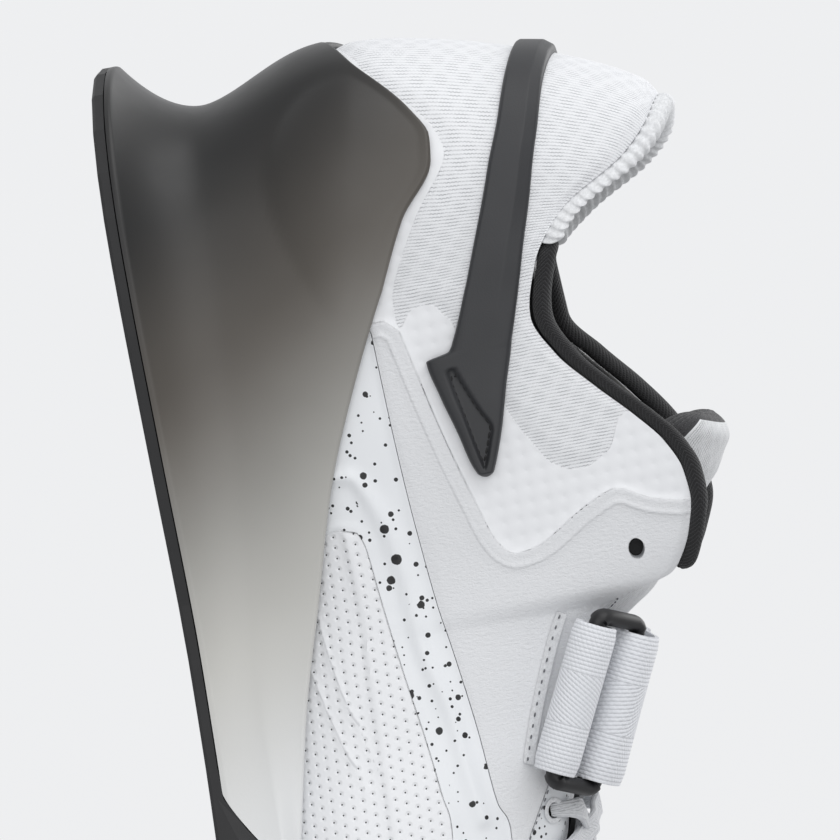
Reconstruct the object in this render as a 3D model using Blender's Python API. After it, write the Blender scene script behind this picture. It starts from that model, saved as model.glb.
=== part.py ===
"""A left weightlifting shoe, standing empty on its sole.

The foot points along +X, the inner side of the shoe faces -Y and +Z is up. The pieces
share one set of upright planes that fan round the heel, run across the foot and fan
round the toe, so a place on the shoe is a share of the way round, a reach out from the
middle line and a height.
"""

import math
from typing import NamedTuple

import bmesh
import bpy
from mathutils import Matrix, Vector

MM = 0.001
CLEAR = 0.3 * MM

# Driving sizes of the shoe
LENGTH = 298.0 * MM
BALL_WIDTH = 108.0 * MM
HEEL_SEAT = 31.5 * MM
BALL_SEAT = 10.0 * MM
TOE_SPRING = 8.0 * MM
SPRING_START = 0.75 * LENGTH
COLLAR_HEIGHT = 123.0 * MM
INSTEP_HEIGHT = 0.748 * COLLAR_HEIGHT
WALL = 2.4 * MM
TONGUE_THICK = 5.0 * MM
COLLAR_WALL = 4.6 * MM
COLLAR_PAD_DEPTH = 26.0 * MM
PAD_END = 0.53
PAD_FADE = 0.06

# Sole; the floor lies below the level that heights are measured from
FLOOR = -2.8 * MM
RUBBER = 2.75 * MM
PARTING = FLOOR + RUBBER
GROUND_BEVEL = 0.8 * MM
SIDEWALL_LEAN = 1.6 * MM
CLIP_END = 0.624 * LENGTH
PARTING_START = 0.563 * LENGTH
PARTING_CURVE = 1.25
CLIP_RIM = 1.9 * MM
CUP_GAP = 0.95 * MM
CUP_WALL = 1.3 * MM
CUP_FLARE = 1.6
LIP_HEIGHT = 4.2 * MM
LIP_SHARE = 0.15
INSOLE_THICK = 3.5 * MM
INSOLE_INSET = 2.2 * MM
INSOLE_BULGE = 0.4 * MM
SEAT_STEP = 2.0 * MM
FOXING_START = CLIP_END + 1.5 * CLEAR
FOXING_LOW = 2.6 * MM
FOXING_HIGH = 8.0 * MM
FOXING_RUN = 0.12
TOE_RISE = 3.0 * MM
TOE_RISE_START = 0.8
GROOVE_DEPTH = 1.5 * MM
GROOVE_WIDTH = 2.6 * MM
FOREFOOT_GROOVES = (0.66, 0.708, 0.756, 0.804, 0.852, 0.90)
HEEL_GROOVES = (0.10, 0.17, 0.24)
HEEL_GROOVE_SPAN = 0.5
HEEL_GROOVE_DEPTH = 1.1 * MM

# Upper trim
OVERLAY_RISE = 0.7 * MM
BAND_RISE = 0.35 * MM
STEP_RUN = 0.6 * MM
EYELET_BORE = 4.6 * MM
LACE_BORE = 3.8 * MM
BEAD_ACROSS = 2.9 * MM
BEAD_UP = 2.2 * MM
BEAD_SEAT = 1.5 * MM
BEAD_TURNS = 8
RIM_RUN = 4.0 * MM
COLLAR_SPAN = (0.19, 0.5)
ROLL_END = 0.185
BAR_EDGE = 1.4 * MM
BAR_RIDGE = 3.0 * MM

# Strap, its ring and the lace
WEBBING = 35.0 * MM
STRAP_THICK = 2.0 * MM
STRAP_GAP = 0.5 * MM
STRAP_LIFT = 1.2 * MM
STRAP_SLOPE = math.radians(26.5)
STRAP_MIDDLE = 0.548 * LENGTH
STRAP_BASE = 0.945 * INSTEP_HEIGHT
STRAP_CORE = 45.0 * MM
STRAP_ARCH = 45.0 * MM
STRAP_THROAT = math.radians(24.0)
RING_BAR = 1.9 * MM
RING_SIDE = 4.0 * MM
RING_LENGTH = WEBBING + 2 * RING_SIDE
RING_CORNER = 2.4 * MM
FOLD_TURN = math.radians(25.0)
FOLD_INNER = 2.8 * MM
ANCHOR_OUTER = 5.2 * MM
ANCHOR_TURN = math.radians(40.2)
ANCHOR_TAIL = math.radians(46.8)
STRAP_LOWER_END = math.radians(112.0)
STRAP_UPPER_END = math.radians(72.0)
LACE_WIDTH = 5.5 * MM
LACE_THICK = 1.5 * MM
LACE_LIFT = 1.1 * MM
LACE_ROWS = (0.622, 0.655, 0.688, 0.720)
LACE_STATIONS = 10
TOP_EYELET = 0.436
EYELET_SET = 6.5 * MM
TOP_EYELET_DROP = 11.5 * MM

# Planes that fan round the heel and the toe
HEEL_FAN = 0.2
TOE_FAN = 0.8
HEEL_PIVOT = 0.208 * LENGTH
TOE_PIVOT = 0.698 * LENGTH
HEEL_ROUND = 0.155 * LENGTH
TOE_ROUND = 0.28 * LENGTH
HEEL_CURVE = 2.2
TOE_CURVE = 2.4


class Plan(NamedTuple):
    """Outline on the ground: share of the length, middle line and half width in ball widths."""

    along: float
    centre: float
    half: float


PLAN = (
    Plan(0.00, 0.000, 0.385),
    Plan(0.17, 0.000, 0.390),
    Plan(0.30, 0.012, 0.372),
    Plan(0.43, 0.042, 0.360),
    Plan(0.53, 0.046, 0.400),
    Plan(0.62, 0.034, 0.460),
    Plan(0.70, 0.010, 0.500),
    Plan(0.80, -0.022, 0.492),
    Plan(0.90, -0.045, 0.450),
    Plan(1.00, -0.060, 0.410),
)


class Bed(NamedTuple):
    """Foot bed: share of the length and share of the heel lift left there."""

    along: float
    lift: float


BED = (
    Bed(0.00, 1.000),
    Bed(0.22, 1.000),
    Bed(0.35, 0.815),
    Bed(0.48, 0.520),
    Bed(0.56, 0.310),
    Bed(0.624, 0.140),
    Bed(0.74, 0.000),
    Bed(1.00, 0.000),
)


class Body(NamedTuple):
    """Upper's wall: feather and widest lines in from the ground line, widest height, roundness."""

    round: float
    foot_in: float
    wide_in: float
    wide_up: float
    arch: float


BODY = (
    Body(0.00, 0.157, 0.044, 0.470, 0.40),
    Body(0.05, 0.150, 0.047, 0.462, 0.38),
    Body(0.10, 0.126, 0.053, 0.446, 0.30),
    Body(0.15, 0.108, 0.060, 0.423, 0.15),
    Body(0.20, 0.100, 0.067, 0.390, 0.05),
    Body(0.36, 0.088, 0.056, 0.325, 0.08),
    Body(0.44, 0.084, 0.046, 0.310, 0.25),
    Body(0.52, 0.080, 0.042, 0.293, 0.60),
    Body(0.64, 0.078, 0.046, 0.244, 0.62),
    Body(0.77, 0.072, 0.050, 0.215, 0.58),
    Body(0.90, 0.072, 0.052, 0.246, 0.66),
    Body(1.00, 0.076, 0.056, 0.276, 0.72),
)


class Top(NamedTuple):
    """Upper's top edge: reach in ball widths, height of inner and outer sides in collar heights."""

    round: float
    out: float
    up: float
    outer_up: float


TOP = (
    Top(0.000, 0.306, 1.000, 1.000),
    Top(0.050, 0.288, 0.984, 0.984),
    Top(0.100, 0.266, 0.925, 0.917),
    Top(0.150, 0.270, 0.808, 0.788),
    Top(0.180, 0.276, 0.763, 0.722),
    Top(0.200, 0.280, 0.742, 0.695),
    Top(0.249, 0.284, 0.716, 0.697),
    Top(0.286, 0.280, 0.748, 0.749),
    Top(0.323, 0.276, 0.809, 0.811),
    Top(0.356, 0.272, 0.870, 0.858),
    Top(0.385, 0.268, 0.915, 0.888),
    Top(0.414, 0.264, 0.939, 0.905),
    Top(0.438, 0.258, 0.943, 0.912),
    Top(0.471, 0.242, 0.927, 0.892),
    Top(0.496, 0.224, 0.901, 0.862),
    Top(0.508, 0.214, 0.878, 0.838),
    Top(0.526, 0.200, 0.752, 0.748),
    Top(0.562, 0.186, 0.711, 0.711),
    Top(0.603, 0.177, 0.679, 0.679),
    Top(0.644, 0.170, 0.650, 0.650),
    Top(0.726, 0.160, 0.594, 0.594),
    Top(0.800, 0.150, 0.553, 0.553),
    Top(0.900, 0.150, 0.536, 0.536),
    Top(1.000, 0.150, 0.528, 0.528),
)


class Seams(NamedTuple):
    """Edges of the printed band and of the quarter overlay, heights in collar heights."""

    round: float
    band_low: float
    band_high: float
    overlay: float
    rise: float


SEAMS = (
    Seams(0.000, 0.310, 0.455, 0.650, 0.0),
    Seams(0.150, 0.300, 0.430, 0.560, 0.0),
    Seams(0.215, 0.290, 0.428, 0.492, 0.0),
    Seams(0.240, 0.288, 0.430, 0.492, 1.0),
    Seams(0.360, 0.300, 0.440, 0.540, 1.0),
    Seams(0.400, 0.315, 0.445, 0.570, 1.0),
    Seams(0.434, 0.345, 0.452, 0.600, 1.0),
    Seams(0.446, 0.350, 0.455, 0.630, 1.0),
    Seams(0.462, 0.354, 0.460, 0.900, 1.0),
    Seams(0.560, 0.378, 0.480, 0.900, 1.0),
    Seams(0.640, 0.400, 0.497, 0.900, 1.0),
    Seams(0.720, 0.400, 0.490, 0.900, 1.0),
    Seams(0.850, 0.360, 0.450, 0.900, 1.0),
    Seams(1.000, 0.340, 0.430, 0.900, 1.0),
)


class Clip(NamedTuple):
    """Heel clip: top edge and waist heights in collar heights, waist in ball widths inward."""

    round: float
    top: float
    waist_up: float
    waist_in: float


CLIP = (
    Clip(0.000, 0.392, 0.160, 0.115),
    Clip(0.050, 0.462, 0.160, 0.112),
    Clip(0.085, 0.566, 0.160, 0.106),
    Clip(0.100, 0.594, 0.160, 0.100),
    Clip(0.115, 0.590, 0.158, 0.094),
    Clip(0.150, 0.520, 0.156, 0.082),
    Clip(0.200, 0.459, 0.150, 0.068),
    Clip(0.305, 0.354, 0.135, 0.054),
    Clip(0.373, 0.297, 0.122, 0.047),
    Clip(0.470, 0.236, 0.104, 0.037),
    Clip(0.578, 0.174, 0.092, 0.026),
    Clip(0.709, 0.124, 0.098, 0.013),
)


class Bar(NamedTuple):
    """Heel bar: lower and upper edges in collar heights."""

    round: float
    low: float
    high: float


BAR = (
    Bar(0.000, 0.754, 0.822),
    Bar(0.033, 0.747, 0.814),
    Bar(0.081, 0.721, 0.791),
    Bar(0.119, 0.686, 0.765),
    Bar(0.165, 0.645, 0.736),
    Bar(0.212, 0.607, 0.709),
    Bar(0.258, 0.567, 0.680),
    Bar(0.267, 0.556, 0.674),
    Bar(0.273, 0.512, 0.671),
    Bar(0.306, 0.525, 0.650),
    Bar(0.344, 0.545, 0.628),
    Bar(0.373, 0.558, 0.607),
    Bar(0.388, 0.570, 0.594),
)


def read(table, column, at):
    """Smooth monotone reading of one column of a table at a place along its first column."""
    places = [row[0] for row in table]
    values = [getattr(row, column) for row in table]
    if at <= places[0]:
        return values[0]
    if at >= places[-1]:
        return values[-1]
    spans = [b - a for a, b in zip(places, places[1:])]
    slopes = [(b - a) / w for a, b, w in zip(values, values[1:], spans)]
    tangents = [slopes[0]]
    for before, after in zip(slopes, slopes[1:]):
        same_way = before * after > 0
        tangents.append(2 * before * after / (before + after) if same_way else 0.0)
    tangents.append(slopes[-1])
    k = max(i for i in range(len(spans)) if places[i] <= at)
    t = (at - places[k]) / spans[k]
    start, end = values[k], values[k + 1]
    lead, trail = tangents[k] * spans[k], tangents[k + 1] * spans[k]
    return (start * (1 + 2 * t) * (1 - t) ** 2 + lead * t * (1 - t) ** 2
            + end * t * t * (3 - 2 * t) - trail * t * t * (1 - t))


def mix(a, b, t):
    """Straight blend from a to b."""
    return a + (b - a) * t


def ease(t):
    """Soft step from 0 to 1."""
    t = min(1.0, max(0.0, t))
    return t * t * (3 - 2 * t)


def centre(s):
    """Middle line's shift to the outer side at distance s from the heel."""
    return read(PLAN, "centre", s / LENGTH) * BALL_WIDTH


def half_width(s):
    """Half width of the ground line at distance s from the heel, with round ends."""
    if s <= 0 or s >= LENGTH:
        return 0.0
    half = read(PLAN, "half", s / LENGTH) * BALL_WIDTH
    if s < HEEL_ROUND:
        half *= (1 - (1 - s / HEEL_ROUND) ** HEEL_CURVE) ** (1 / HEEL_CURVE)
    start = LENGTH - TOE_ROUND
    if s > start:
        half *= (1 - ((s - start) / TOE_ROUND) ** TOE_CURVE) ** (1 / TOE_CURVE)
    return half


def plane(p):
    """Foot and direction of the upright plane at share p round one side."""
    if p < HEEL_FAN:
        turn = p / HEEL_FAN * math.pi / 2
        return HEEL_PIVOT, -math.cos(turn), math.sin(turn)
    if p > TOE_FAN:
        turn = (1 - p) / (1 - TOE_FAN) * math.pi / 2
        return TOE_PIVOT, math.cos(turn), math.sin(turn)
    return mix(HEEL_PIVOT, TOE_PIVOT, (p - HEEL_FAN) / (TOE_FAN - HEEL_FAN)), 0.0, 1.0


def share_round(s):
    """Share round the side of the plane that crosses the foot at distance s from the heel."""
    return mix(HEEL_FAN, TOE_FAN, (s - HEEL_PIVOT) / (TOE_PIVOT - HEEL_PIVOT))


def distance(p, reach):
    """Distance from the heel of a point at a reach out in plane p."""
    foot, dx, _ = plane(p)
    return foot + dx * reach


def ground_reach(p):
    """Reach of the ground line in plane p."""
    foot, dx, dy = plane(p)
    low, high = 0.0, LENGTH
    for _ in range(40):
        middle = (low + high) / 2
        if dy * middle < half_width(foot + dx * middle):
            low = middle
        else:
            high = middle
    return low


def place(p, side, reach, z):
    """Point of the shoe from its plane, side (-1 inner, 1 outer), reach and height."""
    foot, dx, dy = plane(p)
    s = foot + dx * reach
    return Vector((s, side * dy * reach + centre(s), z))


def spring(s):
    """Toe spring of the ground line at distance s from the heel."""
    return TOE_SPRING * max(0.0, (s - SPRING_START) / (LENGTH - SPRING_START)) ** 2


def bed(s):
    """Height of the foot bed at distance s from the heel."""
    return mix(BALL_SEAT, HEEL_SEAT, read(BED, "lift", s / LENGTH)) + spring(s)


def parting(s):
    """Height of the rubber's top under the heel clip, swept up at the clip's front end."""
    if s <= PARTING_START:
        return PARTING
    t = (s - PARTING_START) / (CLIP_END - PARTING_START)
    return mix(PARTING, bed(CLIP_END) - CLIP_RIM, t ** PARTING_CURVE)


class Wall:
    """The upper's outer line in one plane: feather, widest point and top edge."""

    def __init__(self, p, side):
        reach = ground_reach(p)
        self.foot = reach - read(BODY, "foot_in", p) * BALL_WIDTH
        self.wide = reach - read(BODY, "wide_in", p) * BALL_WIDTH
        self.top = read(TOP, "out", p) * BALL_WIDTH
        self.foot_up = bed(distance(p, self.foot)) + CLEAR
        self.wide_up = read(BODY, "wide_up", p) * COLLAR_HEIGHT
        self.top_up = read(TOP, "up" if side < 0 else "outer_up", p) * COLLAR_HEIGHT
        self.arch = read(BODY, "arch", p)
        self.break_share = 0.3

    def height(self, v):
        """Height at share v of the wall, from the feather line to the top edge."""
        if v < self.break_share:
            return mix(self.foot_up, self.wide_up, v / self.break_share)
        turn = (v - self.break_share) / (1 - self.break_share) * math.pi / 2
        return mix(self.wide_up, self.top_up, math.sin(turn))

    def share(self, z):
        """Share v of the wall at a height."""
        if z <= self.wide_up:
            return self.break_share * max(0.0, z - self.foot_up) / (self.wide_up - self.foot_up)
        t = min(1.0, (z - self.wide_up) / (self.top_up - self.wide_up))
        return mix(self.break_share, 1.0, math.asin(t) / (math.pi / 2))

    def reach(self, z):
        """Reach of the wall at a height."""
        if z <= self.wide_up:
            q = (self.wide_up - z) / (self.wide_up - self.foot_up)
            return self.wide - (self.wide - self.foot) * q * q
        t = min(1.0, (z - self.wide_up) / (self.top_up - self.wide_up))
        fall = (1 - self.arch) * t ** 1.3 + self.arch * (1 - math.sqrt(1 - t * t))
        return self.wide - (self.wide - self.top) * fall


WALLS = {}


def wall(p, side):
    """The wall in plane p on one side, worked out once."""
    key = (round(p, 6), side)
    if key not in WALLS:
        WALLS[key] = Wall(*key)
    return WALLS[key]


def on_wall(p, side, v):
    """Point on the upper's plain outer face."""
    line = wall(p, side)
    z = line.height(v)
    return place(p, side, line.reach(z), z)


def wall_normal(p, side, v):
    """Outward normal of the upper's plain outer face."""
    dp, dv = 0.004, 0.01
    p0, p1 = max(0.0, p - dp), min(1.0, p + dp)
    v0, v1 = max(0.0, v - dv), min(1.0, v + dv)
    if p in (0.0, 1.0):
        other = dp if p == 0.0 else 1.0 - dp
        along = on_wall(other, 1, v) - on_wall(other, -1, v)
        along *= side if p == 0.0 else -side
    else:
        along = on_wall(p1, side, v) - on_wall(p0, side, v)
    up = on_wall(p, side, v1) - on_wall(p, side, v0)
    normal = along.cross(up) if side < 0 else up.cross(along)
    return normal.normalized()


def off_wall(p, side, v, out):
    """Point at a distance out from the upper's plain outer face."""
    return on_wall(p, side, v) + wall_normal(p, side, v) * out


def thickness(p, side, z):
    """The upper's wall: thin at the foot, padded near the collar."""
    line = wall(p, side)
    pad = ease(1 - (line.top_up - z) / COLLAR_PAD_DEPTH)
    collar = ease((PAD_END - p) / PAD_FADE)
    return mix(WALL, COLLAR_WALL, pad * collar)


def spread(first, last, count):
    """Evenly spaced values from first to last."""
    return [mix(first, last, i / (count - 1)) for i in range(count)]


def around(shares):
    """Plane and side of every column of a closed ring, heel back to toe along the inner side."""
    inner = [(p, -1) for p in shares]
    outer = [(p, 1) for p in reversed(shares[1:-1])]
    return inner + outer


def material(name, colour, roughness, metallic=0.0):
    """A Principled material."""
    finish = bpy.data.materials.new(name)
    finish.use_nodes = True
    shader = finish.node_tree.nodes["Principled BSDF"]
    shader.inputs["Base Color"].default_value = (*colour, 1.0)
    shader.inputs["Roughness"].default_value = roughness
    shader.inputs["Metallic"].default_value = metallic
    finish.diffuse_color = (*colour, 1.0)
    return finish


def solid(name, points, faces, finish):
    """One closed mesh object with its normals out."""
    mesh = bpy.data.meshes.new(name)
    mesh.from_pydata([tuple(point) for point in points], [], faces)
    shape = bmesh.new()
    shape.from_mesh(mesh)
    bmesh.ops.remove_doubles(shape, verts=shape.verts, dist=1e-7)
    bmesh.ops.triangulate(shape, faces=[f for f in shape.faces if len(f.verts) > 4])
    bmesh.ops.recalc_face_normals(shape, faces=shape.faces)
    shape.to_mesh(mesh)
    shape.free()
    mesh.shade_smooth()
    mesh.set_sharp_from_angle(angle=math.radians(35))
    mesh.materials.append(finish)
    piece = bpy.data.objects.new(name, mesh)
    bpy.context.scene.collection.objects.link(piece)
    return piece


def band_faces(rings, count, closed):
    """Faces between neighbouring rings of count points each."""
    faces = []
    for ring in range(rings - 1):
        for i in range(count if closed else count - 1):
            j = (i + 1) % count
            base, over = ring * count, (ring + 1) * count
            faces.append((base + i, base + j, over + j, over + i))
    return faces


def lid_faces(first, count):
    """Faces that close a ring across the foot, each strip at one distance from the heel."""
    faces = []
    half = count // 2
    for i in range(half):
        far, near = (count - i) % count, count - i - 1
        corners = [first + i, first + i + 1, first + near, first + far]
        faces.append(tuple(dict.fromkeys(corners)))
    return faces


def sweep(name, rings, finish):
    """Solid through a row of closed rings, with flat ends."""
    count = len(rings[0])
    faces = band_faces(len(rings), count, True)
    faces.append(tuple(range(count)))
    last = (len(rings) - 1) * count
    faces.append(tuple(range(last + count - 1, last - 1, -1)))
    return solid(name, [point for ring in rings for point in ring], faces, finish)


def loop_round(name, rings, finish):
    """Solid through rings that meet again at the first one."""
    count = len(rings[0])
    faces = band_faces(len(rings), count, True)
    last = (len(rings) - 1) * count
    for i in range(count):
        j = (i + 1) % count
        faces.append((last + i, last + j, j, i))
    return solid(name, [point for ring in rings for point in ring], faces, finish)


def upper_rows(p, side):
    """Shares of the wall at one plane's rows, with the rise of the overlay at each."""
    line = wall(p, side)
    rise = read(SEAMS, "rise", p)
    room = line.top_up - 2.5 * STEP_RUN
    overlay = min(read(SEAMS, "overlay", p) * COLLAR_HEIGHT, room)
    high = min(read(SEAMS, "band_high", p) * COLLAR_HEIGHT, overlay - 3 * STEP_RUN)
    low = min(read(SEAMS, "band_low", p) * COLLAR_HEIGHT, high - 3 * STEP_RUN)
    stops = [(line.foot_up, low, 3, 0.0), (low + STEP_RUN, high, 2, BAND_RISE),
             (high + STEP_RUN, overlay, 4, OVERLAY_RISE),
             (overlay + STEP_RUN, line.top_up, 3, 0.0)]
    rows = []
    for start, end, steps, lift in stops:
        v0, v1 = line.share(start), line.share(end)
        rows += [(mix(v0, v1, i / steps), lift * rise) for i in range(steps + 1)]
    return rows


HEEL_SHARES = spread(0.0, HEEL_FAN, 9)
TOE_SHARES = spread(TOE_FAN, 1.0, 10)
RAMP_SHARES = spread(HEEL_FAN, 0.61, 9)[1:] + [0.64, 0.67, 0.69]
UPPER_SHARES = (HEEL_SHARES + spread(HEEL_FAN, 0.5, 13)[1:]
                + [0.510, 0.518, 0.527, 0.545] + spread(0.57, TOE_FAN, 9)
                + TOE_SHARES[1:])


def build_upper(finish):
    """Hollow upper: outer face with its overlay steps, rim, lining face and feather edge."""
    columns = around(UPPER_SHARES)
    rows = [upper_rows(p, side) for p, side in columns]
    count = len(rows[0])
    points = []
    for row in range(count):
        for (p, side), column in zip(columns, rows):
            v, rise = column[row]
            points.append(off_wall(p, side, v, rise) if rise else on_wall(p, side, v))
    lining_rows = (count - 1, 14, 11, 9, 6, 4, 0)
    for row in lining_rows:
        for (p, side), column in zip(columns, rows):
            v = column[row][0]
            z = wall(p, side).height(v)
            point = off_wall(p, side, v, -thickness(p, side, z))
            if row == 0:
                point.z = wall(p, side).foot_up
            points.append(point)
    rings = count + len(lining_rows)
    faces = band_faces(rings, len(columns), True)
    last = (rings - 1) * len(columns)
    for i in range(len(columns)):
        j = (i + 1) % len(columns)
        faces.append((last + i, last + j, j, i))
    return solid("upper", points, faces, finish)


def clip_reach(p, side, z):
    """Reach of the heel clip's outer face at a height: lip, concave waist and cup."""
    line = wall(p, side)
    ground = ground_reach(p)
    waist_up = read(CLIP, "waist_up", p) * COLLAR_HEIGHT
    waist = ground - read(CLIP, "waist_in", p) * BALL_WIDTH
    base = parting(distance(p, ground)) + CLEAR
    lip = min(FLOOR + LIP_HEIGHT, mix(base, waist_up, LIP_SHARE))
    if z <= lip:
        return ground
    if z <= waist_up:
        return mix(waist, ground, ((waist_up - z) / (waist_up - lip)) ** 2)
    top_up = read(CLIP, "top", p) * COLLAR_HEIGHT
    edge = line.reach(top_up) + CUP_GAP + CLIP_RIM
    t = (z - waist_up) / (top_up - waist_up)
    flared = mix(waist, edge, math.sin(t * math.pi / 2) ** CUP_FLARE)
    if z < line.foot_up:
        return flared
    return max(flared, line.reach(z) + CUP_GAP + CUP_WALL)


CLIP_SHARES = (HEEL_SHARES[:4] + [0.088, 0.1, 0.112] + HEEL_SHARES[5:] + RAMP_SHARES
               + [share_round(CLIP_END)])


def build_clip(finish):
    """Heel clip: the wedge under the heel, its flared lip and the cup round the upper."""
    shares = [(p, -1) for p in reversed(CLIP_SHARES)] + [(p, 1) for p in CLIP_SHARES[1:]]
    outer_steps = (0.0, 0.04, 0.14, 0.26, 0.40, 0.55, 0.70, 0.85, 0.96)
    inner_steps = spread(0.0, 1.0, 7)
    columns = []
    for p, side in shares:
        line = wall(p, side)
        base = parting(distance(p, ground_reach(p))) + CLEAR
        top = read(CLIP, "top", p) * COLLAR_HEIGHT
        column = [place(p, side, clip_reach(p, side, base), base)]
        column += [place(p, side, clip_reach(p, side, mix(base, top, t)), mix(base, top, t))
                   for t in outer_steps[1:]]
        edge = line.reach(top) + CUP_GAP
        column.append(place(p, side, edge + 0.75 * CLIP_RIM, top))
        floor = line.foot_up - CLEAR
        for t in inner_steps:
            z = mix(top - 0.3 * CLIP_RIM, floor, t)
            column.append(place(p, side, line.reach(max(z, line.foot_up)) + CUP_GAP, z))
        columns.append(column)
    count, rows = len(columns), len(columns[0])
    points = [column[row] for row in range(rows) for column in columns]
    faces = band_faces(rows, count, False)
    for first in (0, (rows - 1) * count):
        for i in range(count // 2):
            corners = (first + i, first + i + 1, first + count - i - 2, first + count - i - 1)
            faces.append(tuple(dict.fromkeys(corners)))
    front = [row * count for row in range(rows)]
    front += [row * count + count - 1 for row in reversed(range(rows))]
    faces.append(tuple(front))
    return solid("heel_clip", points, faces, finish)


def rim_height(p):
    """Top of the rubber's side: the parting line behind, a sidewall round the forefoot."""
    s = distance(p, ground_reach(p))
    if s <= FOXING_START:
        return parting(s)
    t = ease((s - CLIP_END) / (FOXING_RUN * LENGTH))
    toe = ease((s / LENGTH - TOE_RISE_START) / (1 - TOE_RISE_START))
    return bed(s) + mix(FOXING_LOW, FOXING_HIGH, t) + toe * TOE_RISE


OUTSOLE_SHARES = (HEEL_SHARES + RAMP_SHARES
                  + [share_round(CLIP_END + CLEAR), share_round(CLIP_END + 2 * CLEAR)]
                  + [0.742, 0.771] + TOE_SHARES)


def build_outsole(finish):
    """Rubber outsole: flat under heel and ball, toe spring, sidewall round the forefoot."""
    columns = around(OUTSOLE_SHARES)
    rings = [[] for _ in range(7)]
    for p, side in columns:
        ground = ground_reach(p)
        s = distance(p, ground)
        line = wall(p, side)
        rim = rim_height(p)
        low = FLOOR + spring(s)
        in_front = s > FOXING_START
        lean = SIDEWALL_LEAN * ease((rim - PARTING) / FOXING_HIGH)
        rings[0].append(place(p, side, ground - GROUND_BEVEL, low))
        rings[1].append(place(p, side, ground, low + GROUND_BEVEL))
        rings[2].append(place(p, side, ground - 0.15 * lean, mix(low, rim, 0.6)))
        rings[3].append(place(p, side, ground - lean, rim))
        if in_front:
            inner = line.reach(max(rim, line.foot_up)) + CUP_GAP
            foot = line.foot + CUP_GAP
            floor = line.foot_up - CLEAR
            rings[4].append(place(p, side, inner, rim))
            rings[5].append(place(p, side, line.reach(mix(floor, rim, 0.5)) + CUP_GAP,
                                  mix(floor, rim, 0.5)))
            rings[6].append(place(p, side, foot, floor))
        else:
            level = parting(s)
            for step, ring in enumerate(rings[4:], 1):
                ring.append(place(p, side, ground - step * SEAT_STEP, level))
    count = len(columns)
    points = [point for ring in rings for point in ring]
    faces = band_faces(len(rings), count, True)
    faces += lid_faces(0, count)
    faces += lid_faces((len(rings) - 1) * count, count)
    return solid("outsole", points, faces, finish)


INSOLE_SHARES = HEEL_SHARES[::2] + spread(HEEL_FAN, TOE_FAN, 12)[1:] + TOE_SHARES[1:]


def build_insole(finish):
    """Loose insole that lies on the foot bed inside the upper."""
    columns = around(INSOLE_SHARES)
    rings = [[], [], []]
    for p, side in columns:
        line = wall(p, side)
        for ring, share, bulge in zip(rings, (0.0, 0.7, 1.0), (0.0, 1.0, 0.0)):
            z = line.foot_up + share * INSOLE_THICK
            reach = line.reach(z) - WALL - INSOLE_INSET + bulge * INSOLE_BULGE
            ring.append(place(p, side, reach, z))
    for ring, share in ((0, 0.0), (2, 1.0)):
        for point in rings[ring]:
            point.z = bed(point.x) + CLEAR + share * INSOLE_THICK
    count = len(columns)
    faces = band_faces(3, count, True)
    faces += lid_faces(0, count)
    faces += lid_faces(2 * count, count)
    return solid("insole", [point for ring in rings for point in ring], faces, finish)


BAR_SHARES = (spread(0.0, 0.165, 9) + [0.19, 0.212, 0.235, 0.258, 0.267, 0.273, 0.290]
              + [0.306, 0.325, 0.344, 0.360, 0.373, 0.388])


def build_bar(finish):
    """Ridged bar that grips the heel, with a barbed tip on each side."""
    columns = [(p, -1) for p in reversed(BAR_SHARES)] + [(p, 1) for p in BAR_SHARES[1:]]
    across = (0.0, 0.25, 0.5, 0.75, 1.0)
    rings = []
    for p, side in columns:
        line = wall(p, side)
        low = line.share(read(BAR, "low", p) * COLLAR_HEIGHT)
        high = line.share(read(BAR, "high", p) * COLLAR_HEIGHT)
        under = [off_wall(p, side, mix(low, high, t), CLEAR) for t in reversed(across)]
        over = []
        for t in across:
            ridge = mix(BAR_RIDGE, BAR_EDGE, abs(2 * t - 1))
            over.append(off_wall(p, side, mix(low, high, t), CLEAR + ridge))
        rings.append(over + under)
    return sweep("heel_bar", rings, finish)


def build_bead(name, columns, finish):
    """Rolled edging seated on the upper's rim along the given planes."""
    rings = []
    for p, side in columns:
        line = wall(p, side)
        outer = on_wall(p, side, 1.0)
        normal = wall_normal(p, side, 1.0)
        rim = outer - normal * thickness(p, side, line.top_up) / 2
        below = on_wall(p, side, line.share(line.top_up - RIM_RUN))
        up = (outer - below).normalized()
        across = (normal - up * normal.dot(up)).normalized()
        middle = rim + up * (BEAD_UP + BEAD_SEAT)
        ring = []
        for i in range(BEAD_TURNS):
            angle = 2 * math.pi * i / BEAD_TURNS
            ring.append(middle + across * math.cos(angle) * BEAD_ACROSS
                        + up * math.sin(angle) * BEAD_UP)
        rings.append(ring)
    return sweep(name, rings, finish)


class Tongue(NamedTuple):
    """Tongue's middle line: share of the length, height in instep heights, half width, drop."""

    along: float
    up: float
    half: float
    drop: float


TONGUE = (
    Tongue(0.352, 1.370, 0.165, 0.040),
    Tongue(0.380, 1.325, 0.195, 0.075),
    Tongue(0.405, 1.262, 0.200, 0.085),
    Tongue(0.440, 1.175, 0.195, 0.080),
    Tongue(0.472, 1.082, 0.195, 0.085),
    Tongue(0.493, 0.985, 0.200, 0.095),
    Tongue(0.540, 0.912, 0.215, 0.115),
    Tongue(0.587, 0.845, 0.225, 0.125),
    Tongue(0.624, 0.793, 0.230, 0.130),
    Tongue(0.671, 0.745, 0.230, 0.130),
    Tongue(0.711, 0.706, 0.225, 0.125),
    Tongue(0.740, 0.684, 0.215, 0.110),
    Tongue(0.762, 0.668, 0.205, 0.100),
)


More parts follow.
